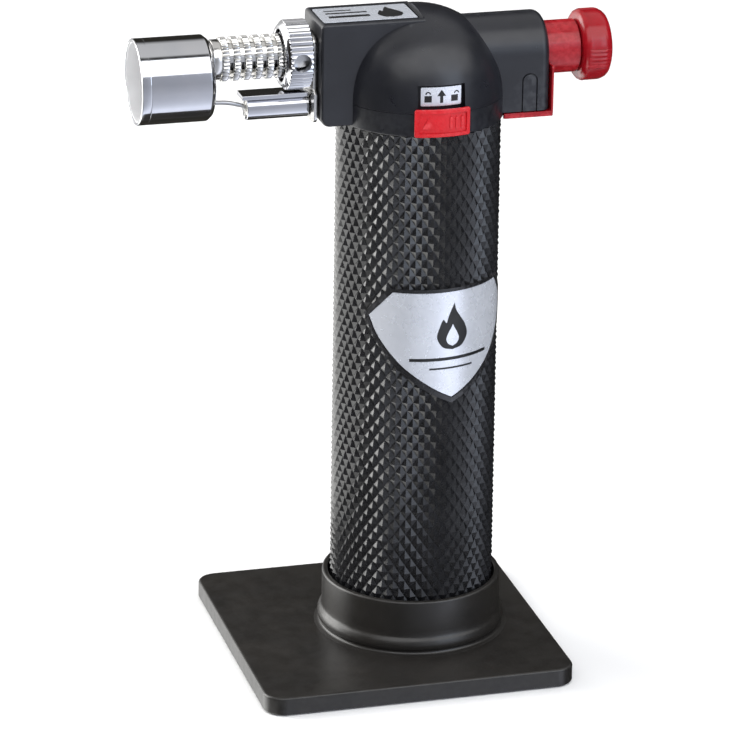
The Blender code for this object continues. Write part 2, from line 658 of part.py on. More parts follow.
def make_flame_tube(mats):
    outer, inner = FLAME_RADIUS, FLAME_RADIUS - 0.7
    front, back = FLAME_FRONT, FLAME_BACK
    tube = turned("flame_tube", [
        (0.0, back), (outer - 0.9, back), (outer, back - 1.0), (outer, front + 0.2),
        (outer - 0.2, front), (inner + 0.2, front), (inner, front + 0.2), (inner, back - 1.3),
        (inner - 0.5, back - 0.8), (0.0, back - 0.8)], mats["chrome"], FINE, "X",
        (0.0, 0.0, FLAME_Z))
    cut(tube, rod("neck_hole_form", 4.3, back - 2.0, back + 1.0, sides=MEDIUM, axis="X",
                  centre=(0.0, 0.0, BURNER_Z)))
    cut(tube, rod("wire_hole_form", 1.2, back - 2.0, back + 1.0, axis="X", centre=(0.0, 0.0, 128.6)))
    near, far = front + HOLDER_DEPTH, front + HOLDER_DEPTH + 1.2
    disc = rod("flame_holder", inner - GAP, near, far, mats["steel"], MEDIUM, "X",
               (0.0, 0.0, FLAME_Z))
    cut(disc, rod("holder_hole_form_0", 1.6, near - 1.0, far + 1.0, sides=8, axis="X",
                  centre=(0.0, 0.0, FLAME_Z)))
    for number in range(1, 9):
        angle = 2.0 * math.pi * number / 8
        at = (0.0, 4.9 * math.cos(angle), FLAME_Z + 4.9 * math.sin(angle))
        cut(disc, rod("holder_hole_form_%d" % number, 0.9, near - 1.0, far + 1.0, sides=6, axis="X",
                      centre=at))


def make_igniter(mats):
    centre = (0.0, 0.0, IGNITER_Z)
    holder = turned("igniter_holder", [(2.25, -38.4), (2.55, -38.4), (2.55, -25.0), (2.25, -25.0)],
                    mats["chrome"], MEDIUM, "X", centre)
    bar = box("holder_bar_form", (-39.6, -2.5, IGNITER_Z + 2.4), (-25.0, 2.5, IGNITER_Z + 3.35))
    add(holder, bar)
    turned("ceramic_insulator", [
        (0.8, -38.2), (1.5, -38.2), (1.95, -37.8), (1.95, -25.9), (0.8, -25.9)],
        mats["ceramic"], SMALL, "X", centre)
    route = [(-27.0, 0.0, 126.8), (-33.0, 0.0, 126.8), (-37.6, 0.0, 126.85), (-39.6, 0.0, 127.6),
             (-42.6, 0.0, 128.3), (-46.8, 0.0, 128.6), (-50.5, 0.0, 129.6), (-54.5, 0.0, 131.2)]
    wire("electrode_wire", smooth_route(route, 3), 0.46, mats["steel"], 1)
    lead = [(-6.3, 2.0, 135.0), (-9.2, 3.2, 133.4), (-13.6, 3.6, 130.0), (-17.4, 2.4, 127.8),
            (-20.6, 0.6, 126.9), (-23.0, 0.0, 126.8), (-25.6, 0.0, 126.8)]
    wire("ignition_lead", smooth_route(lead, 3), 0.6, mats["rubber"], 1)


# ---------------------------------------------------------------- button

def make_button(mats):
    centre = (0.0, 0.0, BARREL_AXIS_Z)
    turned("piezo_unit", [
        (0.0, -6.0), (4.0, -6.0), (4.0, 10.0), (3.2, 10.6), (3.2, 14.0), (0.0, 14.0)],
        mats["inner_plastic"], MEDIUM, "X", centre)
    turned("igniter_plunger", [
        (4.4, 9.0), (BUTTON_RADIUS, 9.0), (BUTTON_RADIUS, 34.6), (1.8, 34.6), (1.8, 31.5),
        (4.4, 31.5)], mats["red_plastic"], MEDIUM, "X", centre)
    wire("return_spring", coil_points(3.3, 14.9, 30.8, 7, 10, "X", centre), 0.4, mats["steel"], 0)
    turned("flow_spindle", [(0.0, 20.0), (0.9, 21.0), (1.5, 22.0), (1.5, 36.0), (0.0, 36.0)],
           mats["brass"], SMALL, "X", centre)
    turned("flow_knob", [
        (0.0, 36.3), (1.8, 36.3), (1.8, 34.9), (6.9, 34.9), (7.6, 35.5), (KNOB_RADIUS, 36.4),
        (KNOB_RADIUS, 39.6), (7.5, 40.9), (6.6, 41.5), (0.0, 41.5)], mats["red_plastic"],
        MEDIUM, "X", centre)


def hang_moving_pieces():
    """The stand and the torch keep the world origin, which is on the line that the torch lifts along."""
    for name, pivot in (
            ("igniter_plunger", (22.0, 0.0, BARREL_AXIS_Z)),
            ("flow_knob", (KNOB_MIDDLE, 0.0, BARREL_AXIS_Z)),
            ("flow_spindle", (KNOB_MIDDLE, 0.0, BARREL_AXIS_Z)),
            ("valve_lever", LEVER_PIVOT),
            ("valve_stem", (0.0, 0.0, 122.0)),
            ("refill_stem", (0.0, 0.0, 9.0)),
            ("lock_slide", (0.0, -18.5, 126.5)),
            ("air_ring", (RING_MIDDLE, 0.0, BURNER_Z))):
        hang(name, pivot)


def main():
    clear_scene()
    mats = make_materials()
    make_stand(mats)
    make_grip(mats)
    make_tank(mats)
    make_valve(mats)
    make_head(mats)
    make_burner_mounting(mats)
    make_burner_tube(mats)
    make_air_ring(mats)
    make_flame_tube(mats)
    make_igniter(mats)
    make_button(mats)
    hang_moving_pieces()


main()
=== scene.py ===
"""Looks for the butane torch: detailed pieces, procedural materials, studio light and camera."""
import json
import math

import bmesh
import bpy
from mathutils import Matrix, Vector


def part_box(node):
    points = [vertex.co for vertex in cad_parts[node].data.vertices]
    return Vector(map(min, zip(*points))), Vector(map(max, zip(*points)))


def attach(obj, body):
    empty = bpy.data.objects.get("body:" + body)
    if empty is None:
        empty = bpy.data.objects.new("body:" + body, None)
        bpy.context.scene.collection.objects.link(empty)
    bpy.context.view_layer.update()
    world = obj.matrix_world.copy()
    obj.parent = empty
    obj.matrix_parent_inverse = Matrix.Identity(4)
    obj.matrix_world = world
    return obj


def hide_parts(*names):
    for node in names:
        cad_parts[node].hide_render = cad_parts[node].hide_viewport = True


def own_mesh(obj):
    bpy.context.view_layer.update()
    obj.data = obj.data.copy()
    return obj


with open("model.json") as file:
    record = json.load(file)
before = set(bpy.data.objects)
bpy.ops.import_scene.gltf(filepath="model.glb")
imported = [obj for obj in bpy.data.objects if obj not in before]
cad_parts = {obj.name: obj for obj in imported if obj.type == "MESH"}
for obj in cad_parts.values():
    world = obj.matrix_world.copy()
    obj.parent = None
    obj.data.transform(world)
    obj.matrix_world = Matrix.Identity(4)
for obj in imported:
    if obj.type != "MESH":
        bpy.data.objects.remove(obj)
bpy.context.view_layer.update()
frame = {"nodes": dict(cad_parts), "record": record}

MM = 0.001
EDGE_ANGLE = math.radians(32.0)      # edges sharper than this are shaded as edges
FACET_ANGLE = math.radians(12.0)     # the same, for the knurl's shallow facets
WIRE_ANGLE = math.radians(60.0)      # the same, for a wire's ends
BEVEL_LIMIT = math.radians(50.0)


# ---- places read from the frame

def low(node):
    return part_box(node)[0] / MM


def high(node):
    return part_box(node)[1] / MM


def centre(node):
    return (low(node) + high(node)) / 2.0


def ends_x(node):
    return low(node).x, high(node).x


def half_height(node):
    return 0.5 * (high(node).z - low(node).z)


GRIP_LOW_Z = low("grip_sleeve").z
GRIP_HIGH_Z = high("grip_sleeve").z
GRIP_LOW_R = high("grip_sleeve").y
GRIP_HIGH_R = GRIP_LOW_R - 0.35
GRIP_BORE = 16.5
BADGE_FACE = 17.94
BEND_RADIUS = 17.9      # arc lengths on bent plates are measured here
BADGE_TURN = math.radians(11.0)
LOCK_FACE = 17.4
INK_HEIGHT = 0.03       # print stands this far above a label
INK_ROOT = 0.02         # and reaches this far into it
SHIELD_TOP = high("badge_plate").z
SHIELD_POINT = low("badge_plate").z

STAND_LOW = low("stand_base")
STAND_HIGH = high("stand_base")
PLATE_TOP = STAND_LOW.z + 4.0

BURNER = centre("air_ring")
FLAME = centre("flame_tube")
IGNITER = centre("ceramic_insulator")
BARREL = centre("igniter_plunger")
BLOCK_FRONT = low("head_housing").x
BLOCK_TOP = high("top_label").z
HEAD_BOTTOM = low("head_housing").z
HEAD_TOP = high("head_housing").z
BARREL_END = high("head_housing").x
DOME_BASE = HEAD_BOTTOM + 5.2
DOME_RADIUS = high("head_housing").y


# ---- mesh tools, in millimetres

def linked(name, data):
    piece = bpy.data.objects.new(name, data)
    bpy.context.scene.collection.objects.link(piece)
    return piece


def to_object(name, built, sharp=EDGE_ANGLE):
    bmesh.ops.recalc_face_normals(built, faces=built.faces)
    if built.calc_volume(signed=True) < 0.0:
        bmesh.ops.reverse_faces(built, faces=built.faces)
    bmesh.ops.scale(built, vec=(MM, MM, MM), verts=built.verts)
    mesh = bpy.data.meshes.new(name)
    built.to_mesh(mesh)
    built.free()
    shade(mesh, sharp)
    return linked(name, mesh)


def shade(mesh, sharp=EDGE_ANGLE):
    mesh.shade_smooth()
    mesh.set_sharp_from_angle(angle=sharp)


def around(axis, radius, angle, along):
    """A point at an angle from -Y: towards +Z round the X axis, towards +X round the Z axis."""
    if axis == "X":
        return (along, -radius * math.cos(angle), radius * math.sin(angle))
    return (radius * math.sin(angle), -radius * math.cos(angle), along)


def turned(name, profile, sides, axis="Z", at=(0.0, 0.0, 0.0), relief=None):
    """Revolve (radius, along[, mark]) points; relief(radius, mark, angle) reshapes the marked ones."""
    built = bmesh.new()
    rings = []
    for entry in profile:
        radius, along = entry[:2]
        if radius < 1e-6:
            rings.append([built.verts.new(around(axis, 0.0, 0.0, along))])
            continue
        ring = []
        for step in range(sides):
            angle = 2.0 * math.pi * step / sides
            reach = relief(radius, entry[2], angle) if len(entry) > 2 else radius
            ring.append(built.verts.new(around(axis, reach, angle, along)))
        rings.append(ring)
    pairs = list(zip(rings, rings[1:]))
    if len(rings[0]) > 1 or len(rings[-1]) > 1:
        pairs.append((rings[-1], rings[0]))
    for first, second in pairs:
        for step in range(sides):
            after = (step + 1) % sides
            if len(first) == 1:
                built.faces.new((first[0], second[step], second[after]))
            elif len(second) == 1:
                built.faces.new((first[step], second[0], first[after]))
            else:
                built.faces.new((first[step], second[step], second[after], first[after]))
    bmesh.ops.translate(built, verts=built.verts, vec=at)
    return to_object(name, built)


def rod(name, radius, start, end, sides, axis="Z", at=(0.0, 0.0, 0.0)):
    return turned(name, [(0.0, start), (radius, start), (radius, end), (0.0, end)], sides, axis, at)


def lofted(name, sections):
    built = bmesh.new()
    loops = [[built.verts.new(point) for point in section] for section in sections]
    count = len(loops[0])
    for first, second in zip(loops, loops[1:]):
        for step in range(count):
            after = (step + 1) % count
            built.faces.new((first[step], first[after], second[after], second[step]))
    built.faces.new(loops[0])
    built.faces.new(loops[-1])
    return to_object(name, built)


def raised(name, outline, ends):
    """A flat outline carried from one height to another."""
    return lofted(name, [[(x, y, z) for x, y in outline] for z in ends])


def arc(middle_x, middle_y, radius, start, end, steps):
    points = []
    for step in range(steps + 1):
        angle = math.radians(start + (end - start) * step / steps)
        points.append((middle_x + radius * math.cos(angle), middle_y + radius * math.sin(angle)))
    return points


def rounded(low_x, low_y, high_x, high_y, radius, steps=8):
    outline = arc(high_x - radius, high_y - radius, radius, 0, 90, steps)
    outline += arc(low_x + radius, high_y - radius, radius, 90, 180, steps)
    outline += arc(low_x + radius, low_y + radius, radius, 180, 270, steps)
    outline += arc(high_x - radius, low_y + radius, radius, 270, 360, steps)
    return outline


def box(name, corner, opposite):
    (x0, y0, z0), (x1, y1, z1) = corner, opposite
    outline = [(x0, y0), (x1, y0), (x1, y1), (x0, y1)]
    return raised(name, outline, (z0, z1))


def pillow(name, corner, opposite, radius, fillet, axis="Z", steps=4):
    """A block with rounded corners of one radius and a fillet round both ends along the axis."""
    order = {"X": (1, 2, 0), "Y": (0, 2, 1), "Z": (0, 1, 2)}[axis]
    u, v, w = order
    sections = []
    for end, way in ((corner[w], 1.0), (opposite[w], -1.0)):
        rows = []
        for step in range(steps + 1):
            angle = 0.5 * math.pi * step / steps
            inset = fillet * (1.0 - math.sin(angle))
            along = end + way * fillet * (1.0 - math.cos(angle))
            outline = rounded(corner[u] + inset, corner[v] + inset, opposite[u] - inset,
                              opposite[v] - inset, max(radius - inset, 0.02), 6)
            row = []
            for across, rise in outline:
                point = [0.0, 0.0, 0.0]
                point[u], point[v], point[w] = across, rise, along
                row.append(tuple(point))
            rows.append(row)
        sections += rows if way > 0.0 else rows[::-1]
    return lofted(name, sections)


def apply_changes(piece):
    bpy.context.view_layer.update()
    made = bpy.data.meshes.new_from_object(
        piece.evaluated_get(bpy.context.evaluated_depsgraph_get()))
    piece.modifiers.clear()
    old = piece.data
    piece.data = made
    bpy.data.meshes.remove(old)
    shade(made)


def carve(piece, *tools, operation="DIFFERENCE"):
    for tool in tools:
        step = piece.modifiers.new("carve", "BOOLEAN")
        step.operation = operation
        step.solver = "EXACT"
        step.object = tool
    apply_changes(piece)
    for tool in tools:
        bpy.data.objects.remove(tool, do_unlink=True)


def weld(piece, *tools):
    carve(piece, *tools, operation="UNION")


def soften(piece, width, segments):
    bevel = piece.modifiers.new("edges", "BEVEL")
    bevel.width = width * MM
    bevel.segments = segments
    bevel.limit_method = "ANGLE"
    bevel.angle_limit = BEVEL_LIMIT
    apply_changes(piece)


def smooth_route(points, per_span=6):
    """A Catmull-Rom curve through the points, ends included."""
    route = [Vector(point) for point in points]
    route = [2.0 * route[0] - route[1]] + route + [2.0 * route[-1] - route[-2]]
    smooth = []
    for index in range(1, len(route) - 2):
        before, here, there, beyond = route[index - 1:index + 3]
        for step in range(per_span):
            t = step / per_span
            smooth.append(0.5 * (2.0 * here + (there - before) * t
                                 + (2.0 * before - 5.0 * here + 4.0 * there - beyond) * t ** 2
                                 + (3.0 * here - before - 3.0 * there + beyond) * t ** 3))
    smooth.append(route[-2])
    return smooth


def flat_curve(points, per_span=6):
    return [(point.x, point.y) for point in smooth_route([(x, y, 0.0) for x, y in points], per_span)]


def wrapped(name, outline, inner, outer, turn, strip):
    """A plate bent round the grip's axis; its outline is arc length and height, cut in strips."""
    built = bmesh.new()
    built.faces.new([built.verts.new((s, 0.0, z)) for s, z in outline])
    first = min(s for s, z in outline)
    last = max(s for s, z in outline)
    count = max(2, int((last - first) / strip))
    for step in range(1, count):
        at = first + (last - first) * step / count
        everything = built.verts[:] + built.edges[:] + built.faces[:]
        bmesh.ops.bisect_plane(built, geom=everything, plane_co=(at, 0.0, 0.0),
                               plane_no=(1.0, 0.0, 0.0), dist=1e-5)
    pulled = bmesh.ops.extrude_face_region(built, geom=built.faces[:])
    lifted = [item for item in pulled["geom"] if isinstance(item, bmesh.types.BMVert)]
    bmesh.ops.translate(built, verts=lifted, vec=(0.0, 1.0, 0.0))
    for vert in built.verts:
        angle = vert.co.x / BEND_RADIUS + turn
        radius = outer if vert.co.y > 0.5 else inner
        vert.co = (radius * math.sin(angle), -radius * math.cos(angle), vert.co.z)
    return to_object(name, built)


def joined(name, parts):
    """Several separate closed forms as one object."""
    built = bmesh.new()
    for part in parts:
        built.from_mesh(part.data)
    mesh = bpy.data.meshes.new(name)
    built.to_mesh(mesh)
    built.free()
    shade(mesh)
    for part in parts:
        bpy.data.objects.remove(part, do_unlink=True)
    return linked(name, mesh)


# ---- materials

PATCH_SCALE = 0.12      # noise features per millimetre
WEAR_SCALE = 0.9
SMEAR_SCALE = 0.35


def mapped(tree, kind, scale, stretch=(1.0, 1.0, 1.0), detail=3.0):
    """A texture node read in object coordinates; scale is features per millimetre."""
    nodes, links = tree.nodes, tree.links
    where = nodes.new("ShaderNodeTexCoord")
    mapping = nodes.new("ShaderNodeMapping")
    mapping.inputs["Scale"].default_value = [1000.0 * scale * part for part in stretch]
    links.new(where.outputs["Object"], mapping.inputs["Vector"])
    texture = nodes.new(kind)
    texture.inputs["Scale"].default_value = 1.0
    if "Detail" in texture.inputs:
        texture.inputs["Detail"].default_value = detail
    links.new(mapping.outputs["Vector"], texture.inputs["Vector"])
    return texture.outputs[0]


def ranged(tree, value, low_out, high_out, low_in=0.3, high_in=0.7):
    node = tree.nodes.new("ShaderNodeMapRange")
    node.inputs["From Min"].default_value = low_in
    node.inputs["From Max"].default_value = high_in
    node.inputs["To Min"].default_value = low_out
    node.inputs["To Max"].default_value = high_out
    tree.links.new(value, node.inputs["Value"])
    return node.outputs["Result"]


def calculated(tree, operation, first, second):
    node = tree.nodes.new("ShaderNodeMath")
    node.operation = operation
    for socket, value in ((node.inputs[0], first), (node.inputs[1], second)):
        if isinstance(value, float):
            socket.default_value = value
        else:
            tree.links.new(value, socket)
    return node.outputs[0]


def blended(tree, factor, first, second):
    node = tree.nodes.new("ShaderNodeMix")
    node.data_type = "RGBA"
    for socket, value in ((node.inputs[6], first), (node.inputs[7], second)):
        if isinstance(value, tuple):
            socket.default_value = (*value, 1.0)
        else:
            tree.links.new(value, socket)
    tree.links.new(factor, node.inputs[0])
    return node.outputs[2]


def finish_of(name, colour, other, roughness, metallic=0.0, grain=9.0, depth=0.006, stretch=(1.0, 1.0, 1.0),
              wear=None, specular=0.5, spread=0.06):
    """Colour drifts between two tones, roughness varies, a fine grain bumps the surface, and edges wear."""
    made = bpy.data.materials.new(name)
    made.use_nodes = True
    tree = made.node_tree
    shader = tree.nodes["Principled BSDF"]
    shader.inputs["Metallic"].default_value = metallic
    shader.inputs["Specular IOR Level"].default_value = specular
    patches = mapped(tree, "ShaderNodeTexNoise", PATCH_SCALE)
    tone = blended(tree, ranged(tree, patches, 0.0, 1.0), colour, other)
    if wear is not None:
        geometry = tree.nodes.new("ShaderNodeNewGeometry")
        edge = ranged(tree, geometry.outputs["Pointiness"], 0.0, 0.8, 0.52, 0.62)
        gaps = ranged(tree, mapped(tree, "ShaderNodeTexNoise", WEAR_SCALE), 0.0, 1.0, 0.42, 0.6)
        tone = blended(tree, calculated(tree, "MULTIPLY", edge, gaps), tone, wear)
    tree.links.new(tone, shader.inputs["Base Color"])
    smear = mapped(tree, "ShaderNodeTexNoise", SMEAR_SCALE, stretch, 5.0)
    tree.links.new(ranged(tree, smear, roughness - spread, roughness + spread), shader.inputs["Roughness"])
    bump = tree.nodes.new("ShaderNodeBump")
    bump.inputs["Strength"].default_value = 0.5
    bump.inputs["Distance"].default_value = depth * MM
    tree.links.new(mapped(tree, "ShaderNodeTexNoise", grain, stretch, 2.0), bump.inputs["Height"])
    tree.links.new(bump.outputs["Normal"], shader.inputs["Normal"])
    made.diffuse_color = (*colour, 1.0)
    return made


ROUND_X = (1.0, 0.04, 0.04)
ROUND_Z = (0.04, 0.04, 1.0)

FINISH = {
    "stand_black": finish_of("stand_black_moulding", (0.013, 0.012, 0.011), (0.02, 0.018, 0.016), 0.34,
            grain=6.0, depth=0.008, wear=(0.05, 0.05, 0.05)),
    "grip_black": finish_of("grip_black_moulding", (0.008, 0.008, 0.009), (0.014, 0.014, 0.016), 0.27,
            grain=8.0, depth=0.006, wear=(0.045, 0.045, 0.05), specular=0.62),
    "head_black": finish_of("head_black_moulding", (0.0105, 0.011, 0.0145), (0.014, 0.0148, 0.0195), 0.33,
            grain=7.0, depth=0.01, wear=(0.04, 0.042, 0.048)),
    "inner_plastic": finish_of("inner_plastic", (0.05, 0.05, 0.055), (0.065, 0.065, 0.07), 0.5),
    "red_plastic": finish_of("deep_red_moulding", (0.25, 0.003, 0.007), (0.32, 0.0045, 0.011), 0.22,
            grain=6.0, depth=0.006, wear=(0.5, 0.03, 0.04), specular=0.4),
    "slide_red": finish_of("bright_red_moulding", (0.5, 0.005, 0.01), (0.58, 0.008, 0.015), 0.28,
            grain=6.0, depth=0.006, wear=(0.75, 0.08, 0.09), specular=0.4),
    "chrome": finish_of("chrome_plating", (0.56, 0.57, 0.6), (0.62, 0.62, 0.64), 0.09, 1.0, grain=3.0,
            depth=0.0006, stretch=ROUND_X, spread=0.03),
    "nickel": finish_of("nickel_plating", (0.62, 0.61, 0.59), (0.72, 0.71, 0.69), 0.18, 1.0, grain=3.0,
            depth=0.001, stretch=ROUND_X, spread=0.05),
    "steel": finish_of("plain_steel", (0.45, 0.45, 0.46), (0.56, 0.56, 0.56), 0.32, 1.0, grain=2.0,
            depth=0.002, stretch=ROUND_X),
    "brass": finish_of("machined_brass", (0.66, 0.46, 0.18), (0.74, 0.54, 0.24), 0.28, 1.0, grain=2.5,
            depth=0.002, stretch=ROUND_X),
    "aluminium": finish_of("drawn_aluminium", (0.66, 0.66, 0.67), (0.76, 0.76, 0.77), 0.34, 1.0, grain=2.0,
            depth=0.003, stretch=ROUND_Z),
    "label_silver": finish_of("silver_foil", (0.68, 0.71, 0.78), (0.74, 0.77, 0.84), 0.27, 0.45, grain=2.0,
            depth=0.0003, spread=0.02),
    "rubber": finish_of("matt_rubber", (0.018, 0.018, 0.018), (0.03, 0.03, 0.03), 0.75, grain=4.0,
            depth=0.02, specular=0.3),
    "ceramic": finish_of("white_ceramic", (0.8, 0.78, 0.73), (0.87, 0.86, 0.82), 0.38, grain=5.0,
            depth=0.004),
}
# Inside of the flame tube's mouth: the bore is metal, but this near-white, mostly diffuse colour is a painted
# reflection that stands in for the white surroundings mirrored in it.
BORE_PAINTED_REFLECTION = finish_of("bore_painted_reflection", (0.82, 0.82, 0.83), (0.9, 0.9, 0.91), 0.42, 0.35, grain=3.0, depth=0.001)
PRINT = finish_of("printed_black", (0.008, 0.008, 0.009), (0.014, 0.014, 0.015), 0.4, grain=9.0, depth=0.001)


def stands_for(piece, body, finish, node):
    """Finish a piece that replaces a CAD node; finish is a material slot's name, or a material of no slot."""
    even = piece.modifiers.new("even_shading", "WEIGHTED_NORMAL")
    even.keep_sharp = True
    piece.data.materials.clear()
    piece.data.materials.append(FINISH[finish] if isinstance(finish, str) else finish)
    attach(piece, body)
    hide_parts(node)


# ---- stand

def make_stand():
    low_x, high_x = STAND_LOW.x, STAND_HIGH.x
    low_y, high_y = STAND_LOW.y, STAND_HIGH.y
    corner = 4.5
    sections = []
    for inset, z in ((0.3, 0.0), (0.08, 0.1), (0.0, 0.35), (0.0, 3.45), (0.06, 3.7), (0.2, 3.88),
                     (0.4, 3.97), (0.7, 4.0)):
        outline = rounded(low_x + inset, low_y + inset, high_x - inset, high_y - inset,
                          corner - inset, 12)
        sections.append([(x, y, STAND_LOW.z + z) for x, y in outline])
    stand = lofted("stand_moulding", sections)
    rim = STAND_HIGH.z
    foot = PLATE_TOP - 0.6
    wall = flat_curve([(21.6, foot + 0.62), (20.7, PLATE_TOP + 0.25), (20.4, PLATE_TOP + 0.8),
                       (20.8, PLATE_TOP + 1.5), (20.9, PLATE_TOP + 2.3), (20.6, PLATE_TOP + 3.2),
                       (20.05, PLATE_TOP + 4.1), (19.92, PLATE_TOP + 5.2)], 5)
    outer = 19.9
    bore = 18.6
    profile = [(0.0, foot), (21.6, foot)] + wall
    profile += [(outer, rim - 0.5), (outer - 0.08, rim - 0.25), (outer - 0.25, rim - 0.07),
                (outer - 0.5, rim), (bore + 0.3, rim), (bore + 0.08, rim - 0.1),
                (bore, rim - 0.35), (bore, PLATE_TOP + 0.3), (0.0, PLATE_TOP + 0.3)]
    socket = turned("socket", profile, 144)
    weld(stand, socket)
    inset = 2.2
    outline = rounded(low_x + inset, low_y + inset, high_x - inset, high_y - inset, corner - inset, 10)
    carve(stand, raised("recess", outline, (-1.0, 3.0)))
    stands_for(stand, "stand", "stand_black", "stand_base")


# ---- grip

KNURLS = 44
KNURL_ROWS = 64
KNURL_DEPTH = 0.62


def grip_radius(z):
    share = (z - GRIP_LOW_Z) / (GRIP_HIGH_Z - GRIP_LOW_Z)
    return GRIP_LOW_R + (GRIP_HIGH_R - GRIP_LOW_R) * share


def knurled_sleeve():
    """Pointed diamonds: every second point of a lattice is a peak, the others are valleys."""
    built = bmesh.new()
    columns = 2 * KNURLS
    rows = []
    for row in range(KNURL_ROWS + 1):
        z = GRIP_LOW_Z + (GRIP_HIGH_Z - GRIP_LOW_Z) * row / KNURL_ROWS
        ring = []
        for column in range(columns):
            peak = (row + column) % 2 == 0
            radius = grip_radius(z) - (0.0 if peak else KNURL_DEPTH)
            ring.append(built.verts.new(around("Z", radius, math.pi * column / KNURLS, z)))
        rows.append(ring)
    for row in range(KNURL_ROWS):
        for column in range(columns):
            after = (column + 1) % columns
            here, right = rows[row][column], rows[row][after]
            above, across = rows[row + 1][column], rows[row + 1][after]
            if (row + column) % 2 == 0:
                built.faces.new((here, right, above))
                built.faces.new((right, across, above))
            else:
                built.faces.new((here, right, across))
                built.faces.new((here, across, above))
    inner_low = [built.verts.new(around("Z", GRIP_BORE, math.pi * c / KNURLS, GRIP_LOW_Z))
                 for c in range(columns)]
    inner_high = [built.verts.new(around("Z", GRIP_BORE, math.pi * c / KNURLS, GRIP_HIGH_Z))
                  for c in range(columns)]
    for column in range(columns):
        after = (column + 1) % columns
        for first, second in ((inner_low, rows[0]), (inner_high, inner_low), (rows[-1], inner_high)):
            built.faces.new((first[column], first[after], second[after], second[column]))
    return to_object("grip_knurl", built, FACET_ANGLE)


def shield(margin):
    """The badge's outline as arc length and height: a straight top, cut corners and bowed sides."""
    top, point = SHIELD_TOP, SHIELD_POINT
    side = flat_curve([(19.0, top - 6.0), (16.6, top - 10.5), (12.0, top - 15.9), (7.4, top - 19.7),
                       (3.2, top - 22.5), (0.0, point)], 4)
    half = [(13.4, top)] + side[:-1]
    points = [(-s, z) for s, z in half] + [side[-1]] + [(s, z) for s, z in reversed(half)]
    middle = Vector((0.0, top - 11.0))
    grown = []
    for s, z in points:
        away = (Vector((s, z)) - middle).normalized()
        grown.append((s + away.x * margin, z + away.y * margin))
    return grown


def flame_outline(middle, foot, height):
    """A plain upright flame, drawn from its foot round its right side to the tip and back."""
    width = 0.34 * height
    right = [(0.0, 0.0), (0.62, 0.06), (1.0, 0.27), (0.86, 0.5), (0.52, 0.68), (0.22, 0.84), (0.1, 1.0)]
    left = [(-0.16, 0.82), (-0.3, 0.7), (-0.42, 0.58), (-0.62, 0.66), (-0.86, 0.48), (-1.0, 0.27),
            (-0.62, 0.06), (0.0, 0.0)]
    side = flat_curve(right, 4)[:-1] + flat_curve([right[-1]] + left, 4)[:-1]
    return [(middle + width * s, foot + height * z) for s, z in side]


def drop_outline(middle, foot, height):
    width = 0.3 * height
    half = [(0.0, 0.0), (0.7, 0.12), (1.0, 0.34), (0.7, 0.6), (0.25, 0.84), (0.0, 1.0)]
    right = flat_curve(half, 4)[:-1]
    left = flat_curve([(-s, z) for s, z in reversed(half)], 4)[:-1]
    return [(middle + width * s, foot + height * z) for s, z in right + left]


def make_grip():
    sleeve = knurled_sleeve()
    carve(sleeve, wrapped("recess", shield(1.15), BADGE_FACE - 0.6, 20.0, BADGE_TURN, 0.6))
    rim = wrapped("rim", shield(1.3), BADGE_FACE - 1.0, grip_radius(76.0) + 0.02, BADGE_TURN, 0.6)
    carve(rim, wrapped("opening", shield(0.15), 15.0, 20.0, BADGE_TURN, 0.6))
    soften(rim, 0.12, 2)
    weld(sleeve, rim)
    sleeve.data.set_sharp_from_angle(angle=FACET_ANGLE)
    stands_for(sleeve, "torch", "grip_black", "grip_sleeve")
    plate = wrapped("badge_shield", shield(0.0), BADGE_FACE - 0.5, BADGE_FACE, BADGE_TURN, 0.5)
    soften(plate, 0.06, 2)
    stands_for(plate, "torch", "label_silver", "badge_plate")
    ink, lift = BADGE_FACE + INK_HEIGHT, BADGE_FACE - INK_ROOT
    top = SHIELD_TOP
    flame = wrapped("badge_flame", flame_outline(0.0, top - 13.2, 10.6), lift, ink, BADGE_TURN, 0.5)
    rules = [wrapped("rule_%d" % number, [(-half, z), (half, z), (half, z + thick), (-half, z + thick)],
                     lift, ink, BADGE_TURN, 0.5)
             for number, (half, z, thick) in enumerate(((9.6, top - 15.6, 0.7), (5.2, top - 17.6, 0.4)))]
    stands_for(joined("badge_print", [flame] + rules), "torch", PRINT, "badge_plate")
    heart = wrapped("badge_flame_heart", drop_outline(0.0, top - 12.4, 5.0), lift, ink + 0.03,
                    BADGE_TURN, 0.4)
    stands_for(heart, "torch", "label_silver", "badge_plate")


# ---- head

DOME_POWER_FRONT = 2.3
DOME_POWER_REAR = 2.0
CROWN_X = -1.2
BLOCK_HALF = 7.5
WALL = 1.4
BARREL_RADIUS = 8.3
WINDOW_HALF = 5.2
BOSS_CIRCLE = 14.0
BOSS_RADIUS = 2.3
BOSS_TOP = 135.0
PILOT_RADIUS = 1.25
BARREL_Z = BARREL.z
BARREL_FLOOR = HEAD_BOTTOM + 1.1


